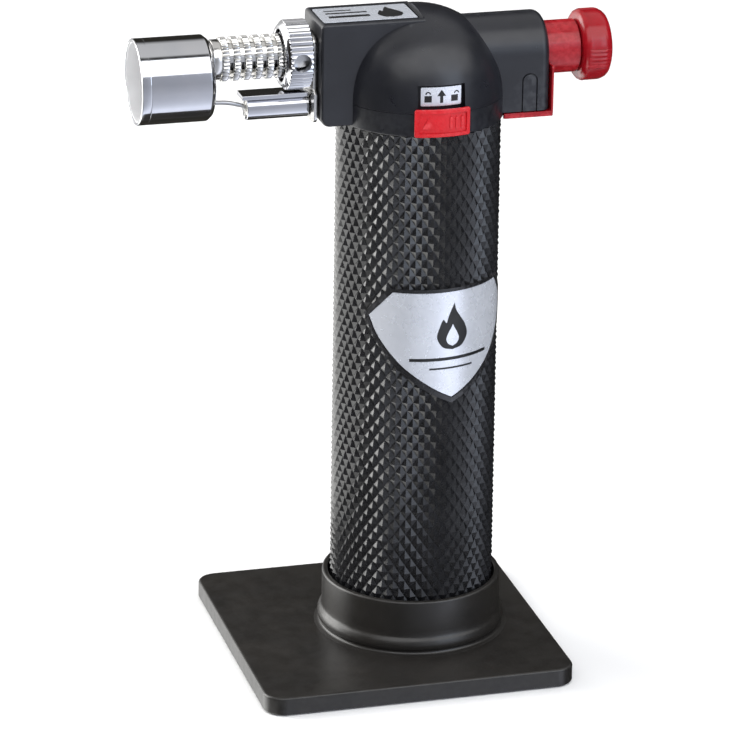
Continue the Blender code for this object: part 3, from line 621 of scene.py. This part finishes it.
def domed(name, radius, height, foot, sides, steps, seam=()):
    """A dome on a skirt; seam is a groove round its base as (inset, height) pairs."""
    built = bmesh.new()
    crown = built.verts.new((0.0, 0.0, DOME_BASE + height))
    rings = []
    for step in range(1, steps + 1):
        share = math.sin(0.5 * math.pi * step / steps)
        ring = []
        for side in range(sides):
            angle = 2.0 * math.pi * side / sides
            lean = 0.5 + 0.5 * math.cos(angle)
            power = DOME_POWER_FRONT + (DOME_POWER_REAR - DOME_POWER_FRONT) * lean
            level = max(0.0, 1.0 - share ** power) ** (1.0 / power)
            ring.append(built.verts.new((radius * share * math.cos(angle),
                                         radius * share * math.sin(angle),
                                         DOME_BASE + height * level)))
        rings.append(ring)
    skirt = [(inset, DOME_BASE + rise) for inset, rise in seam]
    for inset, z in skirt + [(0.0, foot + 0.3), (0.1, foot + 0.08), (0.35, foot)]:
        scale = (radius - inset) / radius
        rings.append([built.verts.new((vert.co.x * scale, vert.co.y * scale, z))
                      for vert in rings[steps - 1]])
    for side in range(sides):
        built.faces.new((crown, rings[0][side], rings[0][(side + 1) % sides]))
    for first, second in zip(rings, rings[1:]):
        for side in range(sides):
            after = (side + 1) % sides
            built.faces.new((first[side], second[side], second[after], first[after]))
    built.faces.new(rings[-1])
    return to_object(name, built)


def barrel_outline(radius, floor, steps=36):
    return [(-radius, floor), (radius, floor)] + arc(0.0, BARREL_Z, radius, 0, 180, steps)


def along_x(outline, x):
    return [(x, y, z) for y, z in outline]


def block_form(edge=0.55, steps=4):
    """The burner block: its long edges and front corners are rounded."""
    sections = []
    rows = []
    for step in range(steps + 1):
        angle = 0.5 * math.pi * step / steps
        rows.append((edge * (1.0 - math.sin(angle)), edge * (1.0 - math.cos(angle))))
    for way in (-1.0, 1.0):
        ordered = rows if way < 0.0 else rows[::-1]
        for inset, back in ordered:
            low_x, top, floor = BLOCK_FRONT + inset, BLOCK_TOP - inset, HEAD_BOTTOM + 0.3 + inset
            corner, upper = 2.0 - inset, 0.9 - inset
            outline = [(CROWN_X + 0.3, floor), (CROWN_X + 0.3, top)]
            outline += arc(low_x + upper, top - upper, upper, 90, 180, 6)
            outline += arc(low_x + corner, floor + corner, corner, 180, 270, 10)
            sections.append([(x, way * (BLOCK_HALF - back), z) for x, z in outline])
    return lofted("block", sections)


def barrel_form():
    sections = [along_x(barrel_outline(BARREL_RADIUS, BARREL_FLOOR), 0.0)]
    for inset, back in ((0.0, 1.9), (0.08, 1.3), (0.3, 0.8), (0.65, 0.4), (1.1, 0.12), (1.6, 0.0)):
        sections.append(along_x(barrel_outline(BARREL_RADIUS - inset, BARREL_FLOOR), BARREL_END - back))
    return lofted("barrel", sections)


def tongue_groove(side):
    """The arched slit round a snap tongue, cut a little way into the barrel's flank."""
    middle, top, half, slit = 22.35, 132.9, 1.75, 0.3
    low_z = BARREL_FLOOR - 1.0
    outer = [(middle + half, low_z)] + arc(middle, top - half, half, 0, 180, 14) + [(middle - half, low_z)]
    half -= slit
    inner = [(middle - half, low_z)] + arc(middle, top - half - slit, half, 180, 0, 14)
    inner += [(middle + half, low_z)]
    reach = sorted((side * (BARREL_RADIUS - 0.45), side * (BARREL_RADIUS + 1.0)))
    return lofted("groove", [[(x, y, z) for x, z in outer + inner] for y in reach])


def make_head():
    seam = ((0.0, -0.04), (0.1, -0.1), (0.1, -0.2), (0.0, -0.26))
    housing = domed("head_moulding", DOME_RADIUS, HEAD_TOP - DOME_BASE, HEAD_BOTTOM, 128, 26, seam)
    carve(housing, box("crown", (-20.0, -BLOCK_HALF - 1.0, BLOCK_TOP - 0.5),
                       (CROWN_X, BLOCK_HALF + 1.0, 150.0)))
    weld(housing, block_form())
    weld(housing, barrel_form())
    carve(housing, domed("dome_hollow", DOME_RADIUS - 2.3, HEAD_TOP - DOME_BASE - 2.4, 121.0, 48, 10))
    inner = BLOCK_HALF - WALL
    outline = barrel_outline(BARREL_RADIUS - WALL, BARREL_FLOOR + 1.1, 24)
    carve(housing,
          box("block_hollow", (BLOCK_FRONT + WALL, -inner, HEAD_BOTTOM + 0.3 + WALL),
              (-2.0, inner, BLOCK_TOP - WALL)),
          lofted("barrel_hollow", [along_x(outline, 2.0), along_x(outline, BARREL_END - 1.3)]),
          box("floor_hollow", (19.0, 0.1 - BARREL_RADIUS + WALL, 122.0),
              (BARREL_END - 1.4, BARREL_RADIUS - WALL - 0.1, 127.0)))
    bosses = []
    for angle in (60, 120, 240, 300):
        at = (BOSS_CIRCLE * math.cos(math.radians(angle)), BOSS_CIRCLE * math.sin(math.radians(angle)), 0.0)
        bosses.append((rod("boss", BOSS_RADIUS, HEAD_BOTTOM, BOSS_TOP, 24, at=at), at))
    weld(housing, *[boss for boss, at in bosses])
    holes = [rod("pilot", PILOT_RADIUS, 122.0, 131.0, 20, at=at) for boss, at in bosses]
    for name, radius, ends, at in (
            ("button_hole", 6.1, (24.0, 29.0), BARREL), ("shank_hole", 3.3, (-24.6, -20.6), BURNER),
            ("lead_hole", 1.3, (-24.6, -20.6), IGNITER)):
        holes.append(rod(name, radius, ends[0], ends[1], 64, "X", (0.0, at.y, at.z)))
    carve(housing, *holes)
    channel = box("channel", (-WINDOW_HALF, -22.0, 122.0), (WINDOW_HALF, -12.0, 134.4))
    carve(channel, rod("channel_floor", 16.9, 120.0, 136.0, 96))
    label = rounded(-22.8, -5.7, -1.7, 5.7, 0.6, 5)
    carve(housing, channel, tongue_groove(-1.0), tongue_groove(1.0),
          raised("label_recess", label, (BLOCK_TOP - 0.6, BLOCK_TOP + 1.0)))
    stands_for(housing, "torch", "head_black", "head_housing")


def make_labels():
    low_corner, high_corner = low("top_label"), high("top_label")
    plate = pillow("top_label_plate", low_corner, high_corner, 0.4, 0.08, "Z", 2)
    stands_for(plate, "torch", "label_silver", "top_label")
    face = high_corner.z
    outlines = [[(-7.0 + x, y) for x, y in flame_outline(0.0, -4.0, 8.0)]]
    for x0, x1, y0, y1 in ((-20.6, -11.6, -2.4, -1.0), (-20.6, -11.6, 0.6, 1.4), (-20.6, -14.6, 2.6, 3.2)):
        outlines.append([(x0, y0), (x1, y0), (x1, y1), (x0, y1)])
    ends = (face - INK_ROOT, face + INK_HEIGHT)
    parts = [raised("print", outline, ends) for outline in outlines]
    stands_for(joined("top_label_print", parts), "torch", PRINT, "top_label")
    low_z, high_z = low("lock_label").z, high("lock_label").z
    half = WINDOW_HALF - 0.6
    plate = wrapped("lock_label_plate", rounded(-half, low_z, half, high_z, 0.25, 3),
                    LOCK_FACE - 0.2, LOCK_FACE, 0.0, 0.4)
    stands_for(plate, "torch", "label_silver", "lock_label")
    outlines = []
    middle = 0.5 * (low_z + high_z)
    for s in (-3.0, 3.0):
        outlines.append([(s - 0.8, middle - 1.2), (s + 0.8, middle - 1.2),
                         (s + 0.8, middle + 0.2), (s - 0.8, middle + 0.2)])
        lean = 0.0 if s < 0.0 else 0.45
        bow = [(s + x + lean, z) for x, z in arc(0.0, middle + 0.5, 0.62, 0, 180, 10)]
        bow += [(s + x + lean, z) for x, z in arc(0.0, middle + 0.5, 0.36, 180, 0, 10)]
        outlines.append(bow)
    outlines.append([(-0.35, middle - 1.4), (0.35, middle - 1.4), (0.35, middle + 0.1), (1.0, middle + 0.1),
                     (0.0, middle + 1.5), (-1.0, middle + 0.1), (-0.35, middle + 0.1)])
    ends = (LOCK_FACE - INK_ROOT, LOCK_FACE + INK_HEIGHT)
    parts = [wrapped("print", outline, *ends, 0.0, 0.3) for outline in outlines]
    stands_for(joined("lock_label_print", parts), "torch", PRINT, "lock_label")


def make_slide():
    low_z, high_z = low("lock_slide").z, high("lock_slide").z
    half = 5.8
    slide = wrapped("lock_slide_moulding", rounded(-half, low_z, half, high_z, 0.45, 4),
                    18.65, 19.4, 0.0, 0.5)
    soften(slide, 0.25, 3)
    stem = WINDOW_HALF - 0.3
    outline = rounded(-stem, low_z + 0.7, stem, high_z - 0.7, 0.3, 3)
    weld(slide, wrapped("stem", outline, 17.7, 18.9, 0.0, 0.5))
    inset = 0.85
    carve(slide, wrapped("dish", rounded(inset - half, low_z + inset, half - inset, high_z - inset, 0.4, 4),
                         19.1, 21.0, 0.0, 0.5))
    bars = []
    for s in (1.6, 2.8, 4.0):
        bars.append(wrapped("bar", rounded(s - 0.25, low_z + 1.7, s + 0.25, high_z - 1.7, 0.2, 3),
                            18.9, 19.32, 0.0, 0.3))
    arrow = [(-4.2, low_z + 1.9), (-1.8, low_z + 1.9), (-3.0, high_z - 1.9)]
    bars.append(wrapped("bar", arrow, 18.9, 19.3, 0.0, 0.3))
    weld(slide, *bars)
    stands_for(slide, "lock", "slide_red", "lock_slide")


def make_rear_cover():
    low_corner, high_corner = low("rear_cover"), high("rear_cover")
    half = high_corner.y
    cover = pillow("rear_cover_moulding", (low_corner.x, -half, low_corner.z),
                   (high_corner.x, half, BARREL_FLOOR - 0.3), 0.3, 0.2, "Z", 3)
    back = pillow("back", (BARREL_END + 0.3, -half, low_corner.z + 0.2), (high_corner.x, half, high_corner.z),
                  0.6, 0.12, "X", 2)
    clip = box("clip", (20.6, -6.5, low_corner.z + 0.4), (24.0, 6.5, 128.0))
    weld(cover, back)
    weld(cover, clip)
    carve(cover,
          rod("skirt", DOME_RADIUS + 0.05, 120.0, 126.0, 128),
          rod("button", 6.15, 20.0, 30.0, 72, "X", (0.0, BARREL.y, BARREL.z)),
          box("clip_gap", (19.5, -5.3, BARREL_FLOOR - 0.3), (25.0, 5.3, 129.0)))
    stands_for(cover, "torch", "red_plastic", "rear_cover")


# ---- burner

SLOT_CENTRES = [math.radians(angle) for angle in (95.0, -25.0, 215.0)]
SLOT_HALF = math.radians(29.0)
BRIDGE_HALF = math.radians(12.0)
VENT_PITCH = 2.4
VENT_RINGS = 6
RIB_TEETH = 32
RING_FLUTES = 40


def tooth(angle, count, sharpness=1.0):
    """0 on a ridge and 1 in the valley between two, for that many ridges round."""
    return (0.5 - 0.5 * math.cos(count * angle)) ** sharpness


def burner_relief(radius, mark, angle):
    """Teeth on the ribs, and three bridges between the slots in the grooves."""
    if mark == "rib":
        return radius - 0.28 * tooth(angle, RIB_TEETH)
    for middle in SLOT_CENTRES:
        away = (angle - middle - math.pi / 3.0 + math.pi) % (2.0 * math.pi) - math.pi
        if abs(away) < BRIDGE_HALF:
            return radius + 0.3
    return radius


def sector(name, x0, x1, middle, half, inner, outer, at, steps=8):
    """A wedge of a thick disc, used to cut one vent slot."""
    outline = []
    for step in range(steps + 1):
        outline.append((outer, middle - half + 2.0 * half * step / steps))
    for step in range(steps + 1):
        outline.append((inner, middle + half - 2.0 * half * step / steps))
    sections = []
    for x in (x0, x1):
        sections.append([tuple(Vector(around("X", radius, angle, x)) + at) for radius, angle in outline])
    return lofted(name, sections)


def make_burner_tube():
    rib, groove, bore, half_rib = 4.75, 4.0, 3.3, 0.73
    front, rear = ends_x("burner_tube")
    last = rear - 1.8
    profile = [(bore, rear), (4.35, rear), (4.35, last + half_rib + 0.05)]
    round_edge = 0.2
    for index in range(VENT_RINGS):
        x = last - VENT_PITCH * index
        profile += [(rib - 0.3, x + half_rib), (rib - 0.06, x + half_rib - 0.08, "rib"),
                    (rib, x + half_rib - round_edge - 0.08, "rib"),
                    (rib, x - half_rib + round_edge + 0.08, "rib"),
                    (rib - 0.06, x - half_rib + 0.08, "rib"), (rib - 0.3, x - half_rib)]
        if index < VENT_RINGS - 1:
            profile += [(groove, x - half_rib - 0.02, "groove"),
                        (groove, x - VENT_PITCH + half_rib + 0.02, "groove")]
    neck = last - VENT_PITCH * (VENT_RINGS - 1) - half_rib
    profile += [(4.2, neck - 0.1), (4.3, neck - 0.3), (4.3, front + 5.1), (4.22, front + 4.95),
                (4.0, front + 4.8), (4.0, front), (bore, front)]
    at = Vector((0.0, BURNER.y, BURNER.z))
    tube = turned("burner_tube_ribbed", profile, RIB_TEETH * 5, "X", at, burner_relief)
    cutters = []
    slot_half = 0.5 * VENT_PITCH - half_rib - 0.05
    for index in range(VENT_RINGS - 1):
        x = last - VENT_PITCH * (index + 0.5)
        for middle in SLOT_CENTRES:
            cutters.append(sector("slot", x - slot_half, x + slot_half, middle, SLOT_HALF, 2.9, 6.0, at))
    carve(tube, *cutters)
    stands_for(tube, "torch", "nickel", "burner_tube")


def make_air_ring():
    x0, x1 = ends_x("air_ring")
    outer = 7.5
    flute = "flute"
    profile = [(5.6, x0 + 0.15), (5.75, x0), (6.2, x0), (6.35, x0 + 0.04), (7.05, x0 + 0.72),
               (7.15, x0 + 0.86),
               (outer - 0.1, x0 + 0.98, flute), (outer, x0 + 1.15, flute), (outer, x1 - 0.35, flute),
               (outer - 0.1, x1 - 0.15, flute), (7.0, x1), (5.6, x1)]

    def relief(radius, mark, angle):
        return radius - 0.3 * tooth(angle, RING_FLUTES, 1.4)

    at = (0.0, BURNER.y, BURNER.z)
    ring = turned("air_ring_fluted", profile, RING_FLUTES * 6, "X", at, relief)
    hole = rod("hole", 1.95, -10.0, -4.0, 40)
    hole.data.transform(Matrix.Translation((-27.6 * MM, 0.0, BURNER.z * MM))
                        @ Matrix.Rotation(math.radians(90.0), 4, "X")
                        @ Matrix.Scale(-1.0, 4, (0.0, 0.0, 1.0)))
    hole.data.flip_normals()
    carve(ring, hole)
    stands_for(ring, "air_collar", "chrome", "air_ring")


def make_flame_tube():
    front, back = ends_x("flame_tube")
    outer = half_height("flame_tube")
    inner = outer - 0.7
    profile = [(0.0, back), (outer - 0.95, back), (outer - 0.8, back - 0.06), (outer - 0.08, back - 0.92),
               (outer, back - 1.1), (outer, front + 2.2), (outer - 0.05, front + 2.1),
               (outer - 0.05, front + 2.0), (outer, front + 1.9), (outer, front + 0.3),
               (outer - 0.08, front + 0.1), (outer - 0.25, front), (inner + 0.2, front),
               (inner + 0.05, front + 0.08), (inner, front + 0.25), (inner, back - 1.3),
               (inner - 0.5, back - 0.8), (0.0, back - 0.8)]
    tube = turned("flame_tube_polished", profile, 144, "X", (0.0, FLAME.y, FLAME.z))
    carve(tube, rod("neck_hole", 4.3, back - 2.0, back + 1.0, 64, "X", (0.0, BURNER.y, BURNER.z)),
          rod("wire_hole", 1.2, back - 2.0, back + 1.0, 32, "X", (0.0, 0.0, 128.6)))
    stands_for(tube, "torch", "chrome", "flame_tube")
    # A thin skin on the mouth's inner wall that carries the painted reflection: its near-white colour stands
    # in for the white surroundings seen mirrored in the bore.
    reflection_skin = turned("flame_tube_painted_reflection", [(inner - 0.12, front + 0.35), (inner + 0.02, front + 0.3),
                                          (inner + 0.02, front + 5.0), (inner - 0.12, front + 5.0)],
                    144, "X", (0.0, FLAME.y, FLAME.z))
    stands_for(reflection_skin, "torch", BORE_PAINTED_REFLECTION, "flame_tube")
    x0, x1 = ends_x("flame_holder")
    disc = turned("flame_holder_drilled", [(0.0, x0), (inner - 0.45, x0), (inner - 0.3, x0 + 0.15),
                                           (inner - 0.3, x1), (0.0, x1)], 64, "X", (0.0, FLAME.y, FLAME.z))
    holes = []
    for circle, count, radius in ((0.0, 1, 1.4), (3.2, 8, 0.7), (5.9, 14, 0.8)):
        for number in range(count):
            angle = 2.0 * math.pi * number / count
            at = (0.0, circle * math.cos(angle), FLAME.z + circle * math.sin(angle))
            holes.append(rod("hole", radius, x0 - 1.0, x1 + 1.0, 14, "X", at))
    carve(disc, *holes)
    stands_for(disc, "torch", "steel", "flame_holder")


def round_wire(name, route, radius):
    """A round wire with closed ends, through points in millimetres, as a mesh."""
    line = bpy.data.curves.new(name + "_line", "CURVE")
    line.dimensions = "3D"
    line.bevel_depth = radius * MM
    line.bevel_resolution = 5
    line.use_fill_caps = True
    spline = line.splines.new("POLY")
    spline.points.add(len(route) - 1)
    for target, point in zip(spline.points, route):
        target.co = (*(point * MM), 1.0)
    drawn = linked(name + "_line", line)
    mesh = bpy.data.meshes.new_from_object(drawn)
    mesh.name = name
    bpy.data.objects.remove(drawn)
    bpy.data.curves.remove(line)
    built = bmesh.new()
    built.from_mesh(mesh)
    bpy.data.meshes.remove(mesh)
    bmesh.ops.scale(built, vec=(1.0 / MM, 1.0 / MM, 1.0 / MM), verts=built.verts)
    bmesh.ops.remove_doubles(built, verts=built.verts, dist=1e-4)
    return to_object(name, built, WIRE_ANGLE)


def make_igniter():
    x0, x1 = ends_x("igniter_holder")
    tube_front = x0 + 1.2
    at = (0.0, IGNITER.y, IGNITER.z)
    holder = turned("igniter_holder_tube", [(2.25, tube_front + 0.1), (2.32, tube_front), (2.48, tube_front),
                                            (2.55, tube_front + 0.1), (2.55, x1), (2.25, x1)], 64, "X", at)
    top = high("igniter_holder").z
    bar = pillow("bar", (x0, -2.5, top - 0.95), (x1, 2.5, top), 0.18, 0.16, "X", 2)
    weld(holder, bar)
    stands_for(holder, "torch", "chrome", "igniter_holder")
    f0, f1 = ends_x("ceramic_insulator")
    sleeve = turned("ceramic_sleeve", [(0.8, f0), (1.35, f0), (1.6, f0 + 0.1), (1.85, f0 + 0.35),
                                       (1.95, f0 + 0.7), (1.95, f1), (0.8, f1)], 48, "X", at)
    stands_for(sleeve, "torch", "ceramic", "ceramic_insulator")
    z = IGNITER.z
    route = smooth_route([(-27.0, 0.0, z), (-33.0, 0.0, z), (-37.6, 0.0, z + 0.05), (-39.6, 0.0, z + 0.8),
                          (-42.6, 0.0, z + 1.5), (-46.8, 0.0, z + 1.8), (-50.5, 0.0, z + 2.8),
                          (-54.5, 0.0, z + 4.4)], 6)
    stands_for(round_wire("spark_electrode", route, 0.46), "torch", "steel", "electrode_wire")
    low_corner, high_corner = low("burner_bracket"), high("burner_bracket")
    corner = 1.6
    half = arc(high_corner.y - corner, low_corner.z + corner, corner, 270, 360, 8)
    half += [(high_corner.y, 130.4), (4.4, 131.4)]
    half += arc(4.4 - corner, high_corner.z - corner, corner, 0, 90, 8)
    outline = half + [(-y, z) for y, z in reversed(half)]
    plate = lofted("burner_bracket_plate", [[(x, y, z) for y, z in outline]
                                            for x in (low_corner.x, high_corner.x)])
    soften(plate, 0.1, 2)
    carve(plate, *[rod("hole", radius, -27.0, -21.0, 48, "X", (0.0, at.y, at.z))
                   for radius, at in ((3.3, BURNER), (1.3, IGNITER))])
    stands_for(plate, "torch", "nickel", "burner_bracket")


# ---- button

KNOB_PATCHES = [math.radians(angle) for angle in (-11.0, 109.0, 229.0)]
KNOB_RIB = math.radians(7.2)


def knob_relief(radius, mark, angle):
    """Five raised ribs in each of three patches round the knob."""
    for middle in KNOB_PATCHES:
        away = (angle - middle + math.pi) % (2.0 * math.pi) - math.pi
        if abs(away) < 2.5 * KNOB_RIB:
            return radius - 0.12 - 0.2 * math.cos(2.0 * math.pi * away / KNOB_RIB + math.pi) * 0.6
    return radius - 0.12


def make_button():
    at = (0.0, BARREL.y, BARREL.z)
    x0, x1 = ends_x("igniter_plunger")
    radius = half_height("igniter_plunger")
    shaft = turned("igniter_plunger_shaft", [
        (4.4, x0 + 0.3), (4.6, x0), (radius - 0.3, x0), (radius, x0 + 0.3), (radius, x1 - 0.15),
        (radius - 0.15, x1), (1.8, x1), (1.8, x1 - 3.1), (4.4, x1 - 3.1)], 96, "X", at)
    stands_for(shaft, "plunger", "red_plastic", "igniter_plunger")
    x0, x1 = ends_x("flow_knob")
    outer = half_height("flow_knob")
    ribbed = "ribbed"
    profile = [(0.0, x0 + 1.4), (1.8, x0 + 1.4), (1.8, x0), (outer - 1.35, x0), (outer - 0.8, x0 + 0.12),
               (outer - 0.35, x0 + 0.5), (outer - 0.08, x0 + 1.1), (outer, x0 + 1.6, ribbed),
               (outer, x0 + 2.4, ribbed), (outer, x0 + 3.4, ribbed), (outer, x0 + 4.4, ribbed),
               (outer - 0.12, x0 + 5.0, ribbed), (outer - 0.6, x1 - 0.75), (outer - 1.0, x1 - 0.32),
               (outer - 1.5, x1 - 0.08), (outer - 2.0, x1), (outer - 2.4, x1 - 0.05), (outer - 2.7, x1 - 0.3),
               (outer - 3.2, x1 - 0.4), (0.0, x1 - 0.4)]
    knob = turned("flow_knob_moulding", profile, 350, "X", at, knob_relief)
    stands_for(knob, "knob", "red_plastic", "flow_knob")


# ---- springs

STEPS_PER_TURN = 28


def make_spring(node, axis, coil_radius, wire_radius, turns, fixed_end):
    """A coil of round wire that fills its node's length along the axis."""
    k = "XYZ".index(axis)
    start, end, middle = low(node), high(node), centre(node)
    length = end[k] - start[k]
    steps = turns * STEPS_PER_TURN
    route = []
    for step in range(steps + 1):
        angle = 2.0 * math.pi * turns * step / steps
        along = start[k] + wire_radius + (length - 2.0 * wire_radius) * step / steps
        across, rise = coil_radius * math.cos(angle), coil_radius * math.sin(angle)
        route.append(Vector((along, middle.y + across, middle.z + rise)) if axis == "X"
                     else Vector((middle.x + across, middle.y + rise, along)))
    spring = round_wire(node + "_coil", route, wire_radius)
    stands_for(spring, "torch", "steel", node)
    anchor = [value * MM for value in (middle.x, middle.y, middle.z)]
    anchor[k] = (start[k] if fixed_end == "low" else end[k]) * MM
    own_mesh(spring)


def make_springs():
    make_spring("return_spring", "X", 3.3, 0.4, 7, "low")
    make_spring("valve_spring", "Z", 1.1, 0.18, 5, "low")
    make_spring("refill_spring", "Z", 1.1, 0.18, 4, "high")


# ---- carried-over nodes

def dress_cad_nodes():
    slots = {part["node"]: part["material_slot"] for part in frame["record"]["subparts"]}
    for name, node in frame["nodes"].items():
        if node.hide_render:
            continue
        node.data.materials.clear()
        node.data.materials.append(FINISH[slots[name]])


# ---- studio

def make_floor():
    built = bmesh.new()
    bmesh.ops.create_grid(built, x_segments=2, y_segments=2, size=6.0)
    mesh = bpy.data.meshes.new("studio_floor")
    built.to_mesh(mesh)
    built.free()
    floor = linked("studio_floor", mesh)
    paint = bpy.data.materials.new("studio_white")
    paint.use_nodes = True
    shader = paint.node_tree.nodes["Principled BSDF"]
    shader.inputs["Base Color"].default_value = (0.9, 0.9, 0.9, 1.0)
    shader.inputs["Roughness"].default_value = 0.9
    shader.inputs["Specular IOR Level"].default_value = 0.1
    mesh.materials.append(paint)
    floor.visible_glossy = False


# Colours by angle in degrees. The back and left come first, then the front and right, which are the same
# at eye level and from below.
BACK_LEFT = ((-180.0, (0.6, 0.6, 0.6)), (-168.0, (0.6, 0.6, 0.6)), (-150.0, (2.4, 2.4, 2.35)))
FRONT_RIGHT = (
    (-28.0, (0.045, 0.044, 0.045)), (-6.0, (0.34, 0.36, 0.4)), (12.0, (0.45, 0.47, 0.53)),
    (28.0, (0.95, 1.0, 1.15)), (44.0, (0.95, 1.0, 1.15)), (60.0, (0.05, 0.055, 0.065)),
    (100.0, (0.02, 0.02, 0.018)), (172.0, (0.035, 0.033, 0.028)), (180.0, (0.6, 0.6, 0.6)))
AROUND = BACK_LEFT + ((-114.0, (2.4, 2.4, 2.35)), (-100.0, (0.15, 0.15, 0.15)),
                      (-80.0, (0.03, 0.028, 0.024))) + FRONT_RIGHT
BELOW = BACK_LEFT + ((-55.0, (2.4, 2.4, 2.35)), (-38.0, (0.05, 0.05, 0.05))) + FRONT_RIGHT
OVERHEAD = (
    (0.0, (0.6, 0.61, 0.64)), (72.0, (0.6, 0.61, 0.64)), (75.0, (0.06, 0.06, 0.06)),
    (79.0, (0.06, 0.06, 0.06)), (84.0, (0.8, 0.8, 0.8)), (130.0, (0.72, 0.72, 0.72)),
    (146.0, (0.04, 0.04, 0.04)), (180.0, (0.03, 0.03, 0.03)))
BRIGHTEST = 2.5      # the ramps hold shares of this, because their colours stop at 1


def ramped(tree, angle, first, last, table):
    """Colours by an angle in degrees, from a table whose ends are at first and last."""
    ramp = tree.nodes.new("ShaderNodeValToRGB")
    tree.links.new(ranged(tree, angle, 0.0, 1.0, math.radians(first), math.radians(last)), ramp.inputs[0])
    stops = ramp.color_ramp.elements
    stops.remove(stops[1])
    for index, (degrees, colour) in enumerate(table):
        place = (degrees - first) / (last - first)
        stop = stops[0] if index == 0 else stops.new(place)
        stop.position = place
        stop.color = (*[channel / BRIGHTEST for channel in colour], 1.0)
    return ramp.outputs[0]


def make_world():
    """Studio surroundings: level and below by azimuth from -Y to +X, overhead by the angle up from -Y."""
    world = bpy.data.worlds.new("studio")
    bpy.context.scene.world = world
    world.use_nodes = True
    tree = world.node_tree
    where = tree.nodes.new("ShaderNodeTexCoord")
    parts = tree.nodes.new("ShaderNodeSeparateXYZ")
    tree.links.new(where.outputs["Generated"], parts.inputs[0])
    x, z = parts.outputs["X"], parts.outputs["Z"]
    ahead = calculated(tree, "MULTIPLY", parts.outputs["Y"], -1.0)
    azimuth = calculated(tree, "ARCTAN2", x, ahead)
    level = ramped(tree, azimuth, -180.0, 180.0, AROUND)
    below = ramped(tree, azimuth, -180.0, 180.0, BELOW)
    level = blended(tree, ranged(tree, z, 1.0, 0.0, -0.65, -0.45), level, below)
    above = ramped(tree, calculated(tree, "ARCTAN2", z, ahead), 0.0, 180.0, OVERHEAD)
    tone = blended(tree, ranged(tree, z, 0.0, 1.0, 0.5, 0.62), level, above)
    background = tree.nodes["Background"]
    tree.links.new(tone, background.inputs["Color"])
    tree.links.new(ranged(tree, z, 1.3 * BRIGHTEST, BRIGHTEST, -0.4, 0.05), background.inputs["Strength"])


LIT_POINT = Vector((-0.01, 0.0, 0.09))


def softbox(name, azimuth, elevation, distance, width, height, power, colour):
    """A rectangular light at an azimuth from -Y towards +X, aimed at the torch's middle."""
    lamp = bpy.data.lights.new(name, "AREA")
    lamp.shape = "RECTANGLE"
    lamp.size = width
    lamp.size_y = height
    lamp.energy = power
    lamp.color = colour
    holder = linked(name, lamp)
    a, e = math.radians(azimuth), math.radians(elevation)
    away = Vector((math.sin(a) * math.cos(e), -math.cos(a) * math.cos(e), math.sin(e)))
    holder.location = LIT_POINT + away * distance
    holder.rotation_euler = away.to_track_quat("Z", "Y").to_euler()
    return holder


def make_lights():
    softbox("key_overhead", 12.0, 51.0, 0.9, 2.4, 0.68, 9.0, (1.0, 1.0, 1.0))
    softbox("fill_right", 34.0, 20.0, 1.1, 0.5, 0.5, 1.5, (0.7, 0.83, 1.0))
    softbox("rim_left", -124.0, 20.0, 0.9, 0.66, 0.9, 9.0, (1.0, 0.99, 0.97))
    ceiling = softbox("ceiling", 0.0, 89.0, 1.6, 3.0, 3.0, 9.0, (1.0, 1.0, 1.0))
    ceiling.visible_glossy = False


SENSOR = 36.0
FOCAL_PIXELS = 4200.0
FRAME_PIXELS = 733.0
CAMERA_ANGLES = (-15.498, 20.767, 0.733)      # azimuth, elevation and roll, in degrees
CAMERA_HEIGHT = 68.06
CAMERA_ASIDE = 10.468
CAMERA_LOWERED = 3.299
CAMERA_DISTANCE = 923.3


def make_camera():
    data = bpy.data.cameras.new("photo_view")
    data.sensor_width = SENSOR
    data.lens = SENSOR * FOCAL_PIXELS / FRAME_PIXELS
    data.clip_start = 0.05
    data.clip_end = 50.0
    camera = linked("photo_view", data)
    azimuth, elevation, roll = (math.radians(angle) for angle in CAMERA_ANGLES)
    back = Vector((math.sin(azimuth) * math.cos(elevation), -math.cos(azimuth) * math.cos(elevation),
                   math.sin(elevation)))
    right = Vector((math.cos(azimuth), math.sin(azimuth), 0.0))
    up = back.cross(right)
    across = math.cos(roll) * right + math.sin(roll) * up
    rise = math.cos(roll) * up - math.sin(roll) * right
    target = Vector((0.0, 0.0, CAMERA_HEIGHT)) - CAMERA_ASIDE * right - CAMERA_LOWERED * up
    place = (target + CAMERA_DISTANCE * back) * MM
    turn = Matrix((across, rise, back)).transposed().to_4x4()
    camera.matrix_world = Matrix.Translation(place) @ turn
    bpy.context.scene.camera = camera


make_stand()
make_grip()
make_head()
make_labels()
make_slide()
make_rear_cover()
make_burner_tube()
make_air_ring()
make_flame_tube()
make_igniter()
make_button()
make_springs()
dress_cad_nodes()
make_floor()
make_world()
make_lights()
make_camera()
bpy.context.scene.view_settings.view_transform = "Standard"
